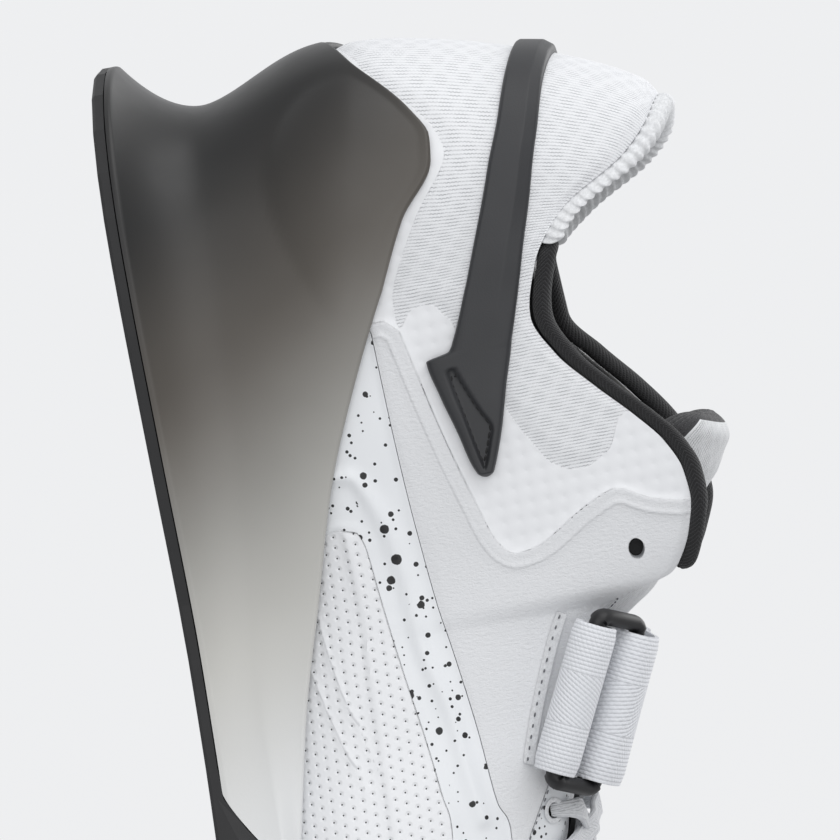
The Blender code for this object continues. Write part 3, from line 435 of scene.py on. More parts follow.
    def arc(self, p: float) -> float:
        """Distance along the side at mid height, from the heel's pivot."""
        heel, toe = self.heel_pivot * self.length, self.toe_pivot * self.length
        if p < self.heel_fan:
            return heel - (1 - p / self.heel_fan) * math.pi / 2 * 0.36 * self.ball_width
        if p > self.toe_fan:
            turn = (p - self.toe_fan) / (1 - self.toe_fan)
            return toe + turn * math.pi / 2 * 0.6 * self.ball_width
        return self.distance(p, 0.0)


def around(shares: Sequence[float]) -> list[Column]:
    """Plane and side of every column of a closed ring, along the inner side first."""
    return [(p, -1) for p in shares] + [(p, 1) for p in reversed(shares[1:-1])]


def across_heel(shares: Sequence[float]) -> list[Column]:
    """Plane and side of every column of an open row that passes behind the heel."""
    return [(p, -1) for p in reversed(shares)] + [(p, 1) for p in shares[1:]]


def add_object(name: str, data: bpy.types.ID) -> Piece:
    """Put a new object with this data in the scene."""
    made = bpy.data.objects.new(name, data)
    bpy.context.scene.collection.objects.link(made)
    return made


def plain_mesh(piece: Piece) -> bpy.types.Mesh:
    """Plain mesh of an object as its live modifiers leave it."""
    bpy.context.view_layer.update()
    graph = bpy.context.evaluated_depsgraph_get()
    return bpy.data.meshes.new_from_object(piece.evaluated_get(graph), depsgraph=graph)


class Mesh:
    """Turns rows of points into finished pieces of the shoe."""

    @staticmethod
    def bands(rings: int, count: int, closed: bool) -> list[Face]:
        """Faces between neighbouring rings of count points each."""
        faces = []
        for ring in range(rings - 1):
            base, over = ring * count, (ring + 1) * count
            for i in range(count if closed else count - 1):
                j = (i + 1) % count
                faces.append((base + i, base + j, over + j, over + i))
        return faces

    @staticmethod
    def lid(first: int, count: int) -> list[Face]:
        """Faces that close a ring across the foot in strips."""
        faces = []
        for i in range(count // 2):
            far, near = (count - i) % count, count - i - 1
            corners = [first + i, first + i + 1, first + near, first + far]
            faces.append(tuple(dict.fromkeys(corners)))
        return faces

    @staticmethod
    def piece(name: str, points: Iterable[Vector], faces: Sequence[Face], material: Material,
              weld: bool = True, angle: float = 40.0, uvs: Outline | None = None) -> Piece:
        """Make one smooth object with its faces pointing out.

        Args:
            name: The object's name.
            points: Its vertices, in metres.
            faces: Its faces as rows of vertex indices.
            material: Its finish.
            weld: Whether meeting points are merged.
            angle: Edges sharper than this, in degrees, stay crisp.
            uvs: Place of each vertex on the surface, in metres.

        Returns:
            The new object.
        """
        mesh = bpy.data.meshes.new(name)
        mesh.from_pydata([tuple(point) for point in points], [], faces)
        if uvs is not None:
            layer = mesh.uv_layers.new(name="UVMap")
            corners = np.zeros(len(mesh.loops), int)
            mesh.loops.foreach_get("vertex_index", corners)
            layer.data.foreach_set("uv", np.asarray(uvs, np.float32)[corners].ravel())
        shape = bmesh.new()
        shape.from_mesh(mesh)
        if weld:
            bmesh.ops.remove_doubles(shape, verts=shape.verts, dist=1e-6)
        bmesh.ops.recalc_face_normals(shape, faces=shape.faces)
        shape.to_mesh(mesh)
        shape.free()
        mesh.shade_smooth()
        mesh.set_sharp_from_angle(angle=math.radians(angle))
        mesh.materials.append(material)
        return add_object(name, mesh)

    @classmethod
    def tube(cls, rings: int, count: int, closed: bool = False, base: int = 0) -> list[Face]:
        """Faces through a row of closed rings.

        Args:
            rings: How many rings.
            count: Points of each ring.
            closed: Whether the last ring meets the first, or both ends are capped.
            base: Index of the first point.

        Returns:
            The faces as rows of vertex indices.
        """
        faces, tail = cls.bands(rings, count, True), (rings - 1) * count
        if closed:
            faces += [(tail + i, tail + (i + 1) % count, (i + 1) % count, i) for i in range(count)]
        else:
            faces += [tuple(range(count)), tuple(range(tail + count - 1, tail - 1, -1))]
        return [tuple(base + i for i in face) for face in faces]

    @classmethod
    def sweep(cls, name: str, rings: Sequence[Sequence[Vector]], material: Material,
              closed: bool = False, uvs: Outline | None = None,
              angle: float = 40.0) -> Piece:
        """Solid through a row of closed rings.

        Args:
            name: The object's name.
            rings: Rings of as many points each.
            material: Its finish.
            closed: Whether the last ring meets the first.
            uvs: Place of each point on the surface.
            angle: Edges sharper than this stay crisp.

        Returns:
            The new object.
        """
        points = [point for ring in rings for point in ring]
        faces = cls.tube(len(rings), len(rings[0]), closed)
        return cls.piece(name, points, faces, material, uvs=uvs, angle=angle)


def finish_piece(piece: Piece, slot: str, *nodes: str) -> Piece:
    """Hang a piece on the shoe's one body.

    Args:
        piece: The finished object.
        slot: The record's material slot; not used.
        nodes: The frame's nodes that it stands for.

    Returns:
        The same object.
    """
    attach(piece, "root")
    if nodes:
        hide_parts(*nodes)
    LOG.info("%s: %d faces", piece.name, len(piece.data.polygons))
    return piece


class Graph:
    """Adds and links nodes of a shader tree."""

    def __init__(self, tree: bpy.types.NodeTree) -> None:
        """Keep the tree that the nodes go into."""
        self.tree = tree

    def node(self, kind: str, **settings: object) -> Node:
        """Add a node and set its plain properties.

        Args:
            kind: The node's type.
            settings: Values of its properties.

        Returns:
            The node.
        """
        made = self.tree.nodes.new(kind)
        for name, value in settings.items():
            setattr(made, name, value)
        return made

    def feed(self, socket: Socket, value: object) -> None:
        """Link a socket to another, or set its plain value."""
        if isinstance(value, Socket):
            self.tree.links.new(value, socket)
        else:
            socket.default_value = value

    def use(self, kind: str, inputs: dict[int | str, object], **settings: object) -> Node:
        """Add a node with its properties and feed its inputs.

        Args:
            kind: The node's type.
            inputs: Sockets or plain values by the input's name or place.
            settings: Values of its properties.

        Returns:
            The node.
        """
        made = self.node(kind, **settings)
        for key, value in inputs.items():
            self.feed(made.inputs[key], value)
        return made

    def math(self, operation: str, a: object, b: object = 0.0, clamp: bool = False) -> Socket:
        """Result of a Math node."""
        return self.use("ShaderNodeMath", {0: a, 1: b}, operation=operation,
                        use_clamp=clamp).outputs[0]

    def plus(self, a: object, b: object) -> Socket:
        """Sum of two numbers."""
        return self.math("ADD", a, b)

    def minus(self, a: object, b: object, clamp: bool = False) -> Socket:
        """Difference of two numbers, kept between 0 and 1 where clamped."""
        return self.math("SUBTRACT", a, b, clamp)

    def times(self, a: object, b: object) -> Socket:
        """Product of two numbers."""
        return self.math("MULTIPLY", a, b)

    def over(self, a: object, b: object) -> Socket:
        """One number divided by another."""
        return self.math("DIVIDE", a, b)

    def off_middle(self, place: object) -> Socket:
        """Distance from the middle of the unit cell that a place lies in."""
        return self.math("ABSOLUTE", self.minus(self.math("FRACT", place), 0.5))

    def stagger(self, row: object) -> Socket:
        """Half a cell for every other row, from the row's whole number."""
        return self.math("FRACT", self.times(row, 0.5))

    def step(self, value: object, start: float, end: float) -> Socket:
        """Soft step from 0 at start to 1 at end."""
        return self.use("ShaderNodeMapRange", {"Value": value, "From Min": start, "From Max": end},
                        interpolation_type="SMOOTHSTEP").outputs["Result"]

    def blend(self, factor: object, a: object, b: object) -> Socket:
        """Colour between a and b."""
        a, b = ((*item, 1.0) if isinstance(item, tuple) else item for item in (a, b))
        return self.use("ShaderNodeMix", {0: factor, 6: a, 7: b}, data_type="RGBA").outputs[2]

    def between(self, factor: object, a: object, b: object) -> Socket:
        """Number between a and b."""
        return self.use("ShaderNodeMix", {0: factor, 2: a, 3: b}, data_type="FLOAT").outputs[0]

    def split(self, vector: Socket) -> tuple[Socket, ...]:
        """X, Y and Z of a vector."""
        return tuple(self.use("ShaderNodeSeparateXYZ", {0: vector}).outputs)

    def join(self, x: object, y: object, z: object = 0.0) -> Socket:
        """Vector from three numbers."""
        return self.use("ShaderNodeCombineXYZ", {0: x, 1: y, 2: z}).outputs[0]

    def turned(self, vector: Socket, angle: float) -> Socket:
        """Vector turned round Z by an angle in radians."""
        return self.use("ShaderNodeVectorRotate", {"Vector": vector, "Angle": angle},
                        rotation_type="Z_AXIS").outputs[0]

    def noise(self, vector: Socket, scale: float, detail: float = 2.0,
              roughness: float = 0.5) -> Socket:
        """Factor of a noise texture."""
        return self.use("ShaderNodeTexNoise", {"Vector": vector, "Scale": scale, "Detail": detail,
                                               "Roughness": roughness}).outputs["Fac"]

    def spots(self, vector: Socket, scale: float, random: float = 1.0,
              smooth: bool = False) -> tuple[Socket, Socket]:
        """Distance to the nearest cell's middle, and the cell's own random colour."""
        made = self.use("ShaderNodeTexVoronoi", {"Vector": vector, "Scale": scale, "Randomness": random},
                        voronoi_dimensions="2D", feature="SMOOTH_F1" if smooth else "F1")
        return made.outputs["Distance"], made.outputs["Color"]

    def attribute(self, name: str) -> Socket:
        """A number that the mesh carries at each point."""
        return self.node("ShaderNodeAttribute", attribute_name=name).outputs["Fac"]

    def solid_place(self) -> Socket:
        """Place in the shoe's own space."""
        return self.node("ShaderNodeTexCoord").outputs["Object"]

    def flat_place(self) -> Socket:
        """Place on the flattened surface, in metres."""
        return self.node("ShaderNodeUVMap", uv_map="UVMap").outputs["UV"]

    def bump(self, height: object, distance: float, strength: float = 1.0,
             normal: Socket | None = None) -> Socket:
        """Normal of a Bump node."""
        inputs = {"Distance": distance, "Strength": strength, "Height": height}
        if normal is not None:
            inputs["Normal"] = normal
        return self.use("ShaderNodeBump", inputs).outputs["Normal"]


class Effect(Graph):
    """A shader node group with named inputs and outputs, built once and used by many."""

    def __init__(self, name: str, inputs: dict[str, float], outputs: Sequence[str],
                 build: Callable[["Effect", dict[str, Socket]], dict[str, object]]) -> None:
        """Build the group.

        Args:
            name: The group's name.
            inputs: Named numbers with their defaults; Vector is always there.
            outputs: Names of the results.
            build: Lays the nodes and gives the socket of each result.
        """
        super().__init__(bpy.data.node_groups.new(name, "ShaderNodeTree"))
        face = self.tree.interface
        face.new_socket("Vector", in_out="INPUT", socket_type="NodeSocketVector")
        for label, value in inputs.items():
            socket = face.new_socket(label, in_out="INPUT", socket_type="NodeSocketFloat")
            socket.default_value = value
        for label in outputs:
            face.new_socket(label, in_out="OUTPUT", socket_type="NodeSocketFloat")
        start = self.node("NodeGroupInput")
        results = build(self, {socket.name: socket for socket in start.outputs if socket.name})
        end = self.node("NodeGroupOutput")
        for label, socket in results.items():
            self.feed(end.inputs[label], socket)

    def place(self, graph: Graph, vector: Socket,
              **values: float) -> dict[str, Socket]:
        """Use the effect in a material.

        Args:
            graph: The material's graph.
            vector: Where on the surface the pattern is read.
            values: Numbers for the named inputs.

        Returns:
            The named results.
        """
        made = graph.node("ShaderNodeGroup", node_tree=self.tree)
        graph.feed(made.inputs["Vector"], vector)
        for label, value in values.items():
            made.inputs[label.replace("_", " ")].default_value = value
        return {socket.name: socket for socket in made.outputs}


def lay_knit(g: Effect, given: dict[str, Socket]) -> dict[str, object]:
    """Ribbed knit whose rows run up the foot, with small gaps that darken in patches: the Gap output is
    painted shade in the gaps, deeper in the patches that hold the knit's own grey dots.
    """
    x, y, _ = g.split(given["Vector"])
    wobble = g.times(g.minus(g.noise(given["Vector"], 90.0), 0.5), 0.0007)
    row = g.over(g.plus(x, wobble), given["Row"])
    rib = g.off_middle(row)
    loop = g.off_middle(g.plus(g.over(y, given["Stitch"]), g.stagger(g.math("FLOOR", row))))
    gap = g.times(g.step(rib, 0.24, 0.44), g.step(loop, 0.12, 0.30))
    lattice = g.join(g.over(x, given["Patch"]), g.over(y, given["Patch"]))
    distance, _ = g.spots(g.turned(lattice, math.radians(38)), 1.0, 0.12)
    patch = g.step(distance, 0.58, 0.22)
    grain = g.noise(given["Vector"], 2600.0)
    # painted shade in the gaps between loops, stronger in the patches of grey dots that the knit really
    # has
    dark = g.times(gap, g.between(patch, 0.20, g.between(grain, 0.45, 1.10)))
    ridge = g.times(g.step(rib, 0.5, 0.15), 0.2)
    height = g.minus(g.plus(ridge, g.times(patch, -0.5)), gap)
    return {"Height": height, "Gap": dark}


def lay_grain(g: Effect, given: dict[str, Socket]) -> dict[str, object]:
    """Fine drawn grain of coated leather."""
    x, y, z = g.split(given["Vector"])
    drawn = g.use("ShaderNodeVectorMath", {0: g.join(x, g.times(y, 0.42), z),
                                           "Scale": given["Scale"]}, operation="SCALE").outputs[0]
    wrinkle = g.noise(drawn, 1.0, 3.0, 0.6)
    fine = g.noise(drawn, 3.1)
    return {"Height": g.plus(wrinkle, g.times(fine, 0.4))}


def lay_twill(g: Effect, given: dict[str, Socket]) -> dict[str, object]:
    """Webbing: cords that run round the loop and break into slanted panels across it."""
    x, y, _ = g.split(given["Vector"])
    share = g.over(x, given["Width"])
    panel = g.times(g.math("GREATER_THAN", share, 0.33), g.math("LESS_THAN", share, 0.67))
    slant = g.times(g.times(y, given["Slant"]), panel)
    cord = g.over(g.plus(x, slant), given["Cord"])
    rib = g.off_middle(cord)
    loop = g.off_middle(g.plus(g.over(y, given["Pick"]), g.stagger(g.math("FLOOR", cord))))
    height = g.times(g.step(rib, 0.5, 0.12), g.between(g.step(loop, 0.5, 0.15), 0.35, 1.0))
    # Gap marks the gaps between cords, which take the finish's shade colour
    gap = g.times(g.step(rib, 0.30, 0.48), g.between(g.step(loop, 0.2, 0.45), 0.25, 1.0))
    return {"Height": height, "Gap": gap}


def lay_splatter(g: Effect, given: dict[str, Socket]) -> dict[str, object]:
    """Round flecks of several sizes, scattered in loose clusters."""
    ragged = g.times(g.minus(g.noise(given["Vector"], 900.0), 0.5), 0.16)
    cluster = g.step(g.noise(given["Vector"], 95.0, 1.0), 0.25, 0.55)
    ink: object = 0.0
    for scale, size, share in ((150.0, 0.19, 0.44), (250.0, 0.18, 0.42), (520.0, 0.20, 0.26)):
        distance, colour = g.spots(given["Vector"], scale)
        lot, chance, _ = g.split(colour)
        radius = g.times(g.between(chance, 0.35, 1.0), size)
        radius = g.plus(radius, g.times(ragged, size * 2.2))
        chosen = g.math("LESS_THAN", lot, g.times(cluster, share))
        inside = g.step(g.minus(radius, distance), -0.012, 0.012)
        ink = g.math("MAXIMUM", ink, g.times(inside, chosen))
    return {"Ink": ink}


def lay_pinholes(g: Effect, given: dict[str, Socket]) -> dict[str, object]:
    """Pinholes in staggered rows, each in a soft dimple; Hole marks where the pinholes' dark is painted.
    """
    x, y, _ = g.split(given["Vector"])
    row = g.over(y, given["Pitch"])
    stagger = g.times(g.math("FLOOR", row), 0.5)
    column = g.plus(g.over(x, given["Pitch"]), stagger)
    a = g.minus(g.math("FRACT", column), 0.5)
    b = g.minus(g.math("FRACT", row), 0.5)
    distance = g.math("SQRT", g.plus(g.times(a, a), g.times(b, b)))
    return {"Hole": g.step(distance, 0.10, 0.07), "Height": g.step(distance, 0.05, 0.34)}


@dataclass
class Effects:
    """The patterns that the shoe's materials share."""

    knit: Effect = field(default_factory=lambda: Effect(
        "knit", {"Row": 0.76 * MM, "Stitch": 0.86 * MM, "Patch": 4.0 * MM}, ("Height", "Gap"), lay_knit))
    grain: Effect = field(default_factory=lambda: Effect(
        "grain", {"Scale": 1600.0}, ("Height",), lay_grain))
    twill: Effect = field(default_factory=lambda: Effect(
        "twill", {"Width": 35 * MM, "Cord": 1.15 * MM, "Pick": 1.3 * MM, "Slant": 0.45},
        ("Height", "Gap"), lay_twill))
    splatter: Effect = field(default_factory=lambda: Effect("splatter", {}, ("Ink",), lay_splatter))
    pinholes: Effect = field(default_factory=lambda: Effect(
        "pinholes", {"Pitch": 2.45 * MM}, ("Hole", "Height"), lay_pinholes))


@dataclass(frozen=True)
class Finish:
    """Base of every finish: one Principled material with its own graph."""

    name: str
    colour: Colour
    roughness: float = 0.6
    sheen: float = 0.0
    coat: float = 0.0

    def make(self, effects: Effects) -> Material:
        """Build the material.

        Args:
            effects: The shared patterns.

        Returns:
            The material.
        """
        material = bpy.data.materials.new(self.name)
        material.use_nodes = True
        material.diffuse_color = (*self.colour, 1.0)
        graph = Graph(material.node_tree)
        shader = material.node_tree.nodes["Principled BSDF"]
        plain = {"Base Color": material.diffuse_color, "Roughness": self.roughness,
                 "Sheen Weight": self.sheen, "Coat Weight": self.coat}
        for label, value in (plain | self.paint(graph, effects)).items():
            graph.feed(shader.inputs[label], value)
        return material

    def paint(self, g: Graph, effects: Effects) -> dict[str, object]:
        """Lay the finish's own nodes.

        Args:
            g: The material's graph.
            effects: The shared patterns.

        Returns:
            What feeds the shader, by the name of its input.
        """
        raise NotImplementedError

    def tinted(self, share: float) -> Colour:
        """The finish's colour times a share."""
        return tuple(c * share for c in self.colour)


@dataclass(frozen=True)
class MouldedFinish(Finish):
    """Moulded plastic or rubber with a fine matt skin and slight mottling."""

    skin: float = 2400.0
    depth: float = 0.05 * MM
    mottle: float = 0.15

    def paint(self, g: Graph, effects: Effects) -> dict[str, object]:
        """Lay the nodes, with the arguments and the result that Finish.paint names."""
        spot = g.solid_place()
        darker, lighter = self.tinted(1 - self.mottle), self.tinted(1 + self.mottle)
        low, high = self.roughness - 0.05, self.roughness + 0.05
        return {"Base Color": g.blend(g.noise(spot, 60.0, 3.0), darker, lighter),
                "Roughness": g.between(g.noise(spot, 140.0), low, high),
                "Normal": g.bump(g.noise(spot, self.skin, 3.0), self.depth, 0.6)}


@dataclass(frozen=True)
class SmokedFinish(Finish):
    """Satin moulding that fades from charcoal at the heel to near white at the arch."""

    dark: Colour = (0.013, 0.013, 0.013)
    warm: Colour = (0.108, 0.096, 0.082)
    grey: Colour = (0.540, 0.535, 0.505)
    pale: Colour = (0.720, 0.730, 0.735)
    lean: float = 3.0
    heel: float = -0.149
    reach: float = 0.186

    def paint(self, g: Graph, effects: Effects) -> dict[str, object]:
        """Lay the nodes, with the arguments and the result that Finish.paint names."""
        spot = g.solid_place()
        x, _, z = g.split(spot)
        share = g.over(g.minus(x, self.heel), self.reach)
        share = g.plus(share, g.times(z, self.lean))
        cloud = g.times(g.minus(g.noise(spot, 22.0, 3.0), 1.5), 0.07)
        share = g.plus(share, cloud)
        low = g.blend(g.step(share, 0.12, 0.46), self.dark, self.warm)
        high = g.blend(g.step(share, 0.34, 0.74), low, self.grey)
        rough = g.between(g.noise(spot, 180.0), self.roughness - 0.04, self.roughness + 0.05)
        return {"Base Color": g.blend(g.step(share, 0.66, 1.0), high, self.pale), "Roughness": rough,
                "Normal": g.bump(g.noise(spot, 1900.0), 0.02 * MM, 0.5)}


@dataclass(frozen=True)
class SkinFinish(Finish):
    """The upper's outer skin: knit, dimpled film, grained overlay, flecked band and pinholes, with
    painted shade in the knit's gaps and along the seam grooves, and the uncut pinholes painted dark.
    """

    ink: Colour = (0.012, 0.012, 0.013)
    # colour of the painted shade in the knit's gaps and along the seam grooves
    shade: Colour = (0.30, 0.31, 0.33)
    # dark painted into the uncut pinholes: the black lining behind them and the shade inside them
    pit: Colour = (0.05, 0.05, 0.055)
    band_tint: Colour = (0.965, 0.985, 0.99)

    def paint(self, g: Graph, effects: Effects) -> dict[str, object]:
        """Lay the nodes, with the arguments and the result that Finish.paint names."""
        flat = g.flat_place()
        edge = 0.15 * MM
        mesh = g.step(g.attribute("mesh"), -edge, edge)
        band = g.step(g.attribute("band"), -edge, edge)
        holed = g.step(g.attribute("panel"), -edge, edge)
        printed = g.math("MAXIMUM", band, holed)
        quarter = g.minus(g.step(g.attribute("quarter"), -edge, edge), printed, True)
        inset = g.math("ABSOLUTE", g.minus(g.attribute("quarter"), LINE_INSET))
        raised = g.times(g.step(inset, 0.8 * MM, 0.1 * MM), quarter)
        edges = [g.step(g.attribute(name), -0.32 * MM, 0.32 * MM) for name in ("quarter", "band")]
        layers = g.minus(edges[0], printed, True)
        layers = g.plus(layers, g.times(edges[1], 0.6))
        layers = g.plus(layers, g.times(raised, 0.5))
        knit = effects.knit.place(g, flat)
        grain = effects.grain.place(g, flat)["Height"]
        ink = g.times(effects.splatter.place(g, flat)["Ink"], band)
        pins = effects.pinholes.place(g, flat)
        hole = g.times(pins["Hole"], holed)
        dimple, _ = g.spots(g.join(*g.split(flat)[:2]), 1 / (3.6 * MM), 0.05, True)
        base = g.blend(g.noise(flat, 35.0), self.tinted(0.965), self.colour)
        # painted shade in the knit's gaps, with the knit's own grey dots in its patches
        base = g.blend(g.times(knit["Gap"], mesh), base, self.shade)
        cooler = tuple(c * k for c, k in zip(self.colour, self.band_tint))
        base = g.blend(g.times(band, 0.5), base, cooler)
        # pinholes painted dark for the black lining behind them and the shade inside them
        base = g.blend(hole, base, self.pit)
        base = g.blend(quarter, base, self.tinted(0.90))
        # painted shade along the seam grooves
        groove = g.step(g.attribute("seam"), 0.34 * MM, 0.10 * MM)
        base = g.blend(g.times(groove, 0.35), base, self.shade)
        skin = g.blend(ink, base, self.ink)
        lined = g.step(g.attribute("lined"), 0.45, 0.55)
        rough = g.between(mesh, g.between(quarter, 0.42, 0.56), 0.85)
        normal = g.bump(layers, 0.45 * MM, 0.8)
        normal = g.bump(g.times(knit["Height"], mesh), 0.16 * MM, 0.7, normal)
        normal = g.bump(g.times(grain, quarter), 0.30 * MM, 0.8, normal)
        film = g.minus(1.0, g.math("MAXIMUM", g.math("MAXIMUM", mesh, quarter), printed))
        normal = g.bump(g.times(dimple, film), 0.55 * MM, 0.6, normal)
        normal = g.bump(g.times(pins["Height"], holed), 0.30 * MM, 0.7, normal)
        return {"Base Color": g.blend(lined, skin, self.ink), "Roughness": g.between(ink, rough, 0.5),
                "Normal": normal}


@dataclass(frozen=True)
class KnitFinish(Finish):
    """Plain knit or ribbed cloth, with painted shade in the gaps between its loops."""

    row: float = 0.62 * MM
    # share of the colour left in the gaps: painted shade
    shade: float = 0.35
    depth: float = 0.22 * MM
    lining: Colour | None = None

    def paint(self, g: Graph, effects: Effects) -> dict[str, object]:
        """Lay the nodes, with the arguments and the result that Finish.paint names."""
        flat = g.flat_place()
        knit = effects.knit.place(g, flat, Row=self.row, Stitch=self.row)
        # painted shade in the knit's gaps
        cloth = g.blend(knit["Gap"], self.colour, self.tinted(self.shade))
        if self.lining:
            # the lining's ribs lighter than its gaps: painted shade in the gaps
            ribbed = g.blend(knit["Gap"], tuple(c * 2.6 for c in self.lining), self.lining)
            cloth = g.blend(g.step(g.attribute("lined"), 0.45, 0.55), cloth, ribbed)
        return {"Base Color": cloth, "Normal": g.bump(knit["Height"], self.depth, 0.9)}


@dataclass(frozen=True)
class WebbingFinish(Finish):
    """Corded twill webbing. Its shade colour fills the gaps between cords: painted shade on the white
    webbing and lace, the grey of the threads on the black binding.
    """

    width: float = 35 * MM
    cord: float = 0.95 * MM
    pick: float = 1.2 * MM
    slant: float = 0.45
    turn: float = 0.0
    # gap colour: painted shade on white webbing and lace, the thread's own grey on the black binding
    shade: Colour = (0.56, 0.57, 0.60)

    def paint(self, g: Graph, effects: Effects) -> dict[str, object]:
        """Lay the nodes, with the arguments and the result that Finish.paint names."""
        flat = g.flat_place()
        if self.turn:
            flat = g.turned(flat, self.turn)
        twill = effects.twill.place(g, flat, Width=self.width, Cord=self.cord, Pick=self.pick,
                                    Slant=self.slant)
        # the gaps between cords take the shade colour
        return {"Base Color": g.blend(twill["Gap"], self.colour, self.shade),
                "Normal": g.bump(twill["Height"], 0.24 * MM, 0.8)}


@dataclass(frozen=True)
class GrainFinish(Finish):
    """Cloth or leather with a fine all-over grain read in the shoe's own space."""

    scale: float = 1500.0
    depth: float = 0.12 * MM

    def paint(self, g: Graph, effects: Effects) -> dict[str, object]:
        """Lay the nodes, with the arguments and the result that Finish.paint names."""
        spot = g.solid_place()
        grain = effects.grain.place(g, spot, Scale=self.scale)["Height"]
        return {"Base Color": g.blend(g.step(grain, 0.5, 0.9), self.tinted(0.82), self.colour),
                "Normal": g.bump(grain, self.depth, 0.8)}


QUARTER_EDGE = (
    (0.240, 0.474), (0.277, 0.489), (0.322, 0.508), (0.368, 0.530), (0.410, 0.553),
    (0.445, 0.574), (0.462, 0.599), (0.463, 0.627), (0.457, 0.667), (0.435, 0.739),
    (0.422, 0.795), (0.422, 0.824), (0.435, 0.874), (0.442, 0.926),
)
LINE_INSET = 3.0 * MM
BAND_TOP = (
    (0.235, 0.422), (0.305, 0.425), (0.378, 0.430), (0.435, 0.437), (0.493, 0.447),
    (0.550, 0.463), (0.620, 0.480), (0.687, 0.491), (0.725, 0.505), (0.850, 0.460),
    (1.000, 0.440),
)
PANEL_EDGE = (
    (0.417, 0.259), (0.413, 0.288), (0.417, 0.311), (0.425, 0.325), (0.440, 0.334),
    (0.483, 0.345), (0.560, 0.366), (0.620, 0.384), (0.673, 0.397), (0.715, 0.403),
    (0.850, 0.365), (1.000, 0.345),
)
BAND_RIDGE = (
    (0.363, 0.305), (0.368, 0.331), (0.385, 0.354), (0.407, 0.373), (0.427, 0.386),
    (0.455, 0.394), (0.477, 0.401), (0.537, 0.407), (0.595, 0.436), (0.662, 0.450),
    (0.703, 0.462),
)
KNIT_EDGE = (
    (0.000, 0.410), (0.050, 0.480), (0.085, 0.585), (0.100, 0.612), (0.115, 0.608),
    (0.150, 0.540), (0.200, 0.478), (0.237, 0.474), (0.225, 0.497), (0.220, 0.522),
    (0.223, 0.546), (0.237, 0.567), (0.243, 0.574), (0.290, 0.605), (0.322, 0.637),
    (0.333, 0.644), (0.357, 0.668), (0.382, 0.697), (0.393, 0.725), (0.397, 0.754),
    (0.392, 0.786), (0.382, 0.816), (0.363, 0.835), (0.355, 0.847), (0.345, 0.900),
    (0.335, 1.000),
)
PANEL_SEAMS = (
    ((0.440, 0.212), (0.477, 0.219), (0.523, 0.230), (0.573, 0.250), (0.640, 0.290)),
    ((0.480, 0.176), (0.525, 0.187), (0.587, 0.217), (0.660, 0.262)),
)
EYESTAY_EDGE = ((0.520, 0.770), (0.527, 0.751), (0.548, 0.690), (0.620, 0.628), (0.680, 0.585),
                (0.728, 0.533))
FLECKED_CORNER = ((0.662, 0.604), (0.680, 0.585), (0.728, 0.533), (0.760, 0.560), (0.720, 0.700),
                  (0.668, 0.700))
BAR_RECESS = ((0.283, 0.561), (0.288, 0.547), (0.330, 0.562), (0.373, 0.578), (0.378, 0.585),
              (0.355, 0.603), (0.342, 0.610), (0.326, 0.595), (0.310, 0.581))


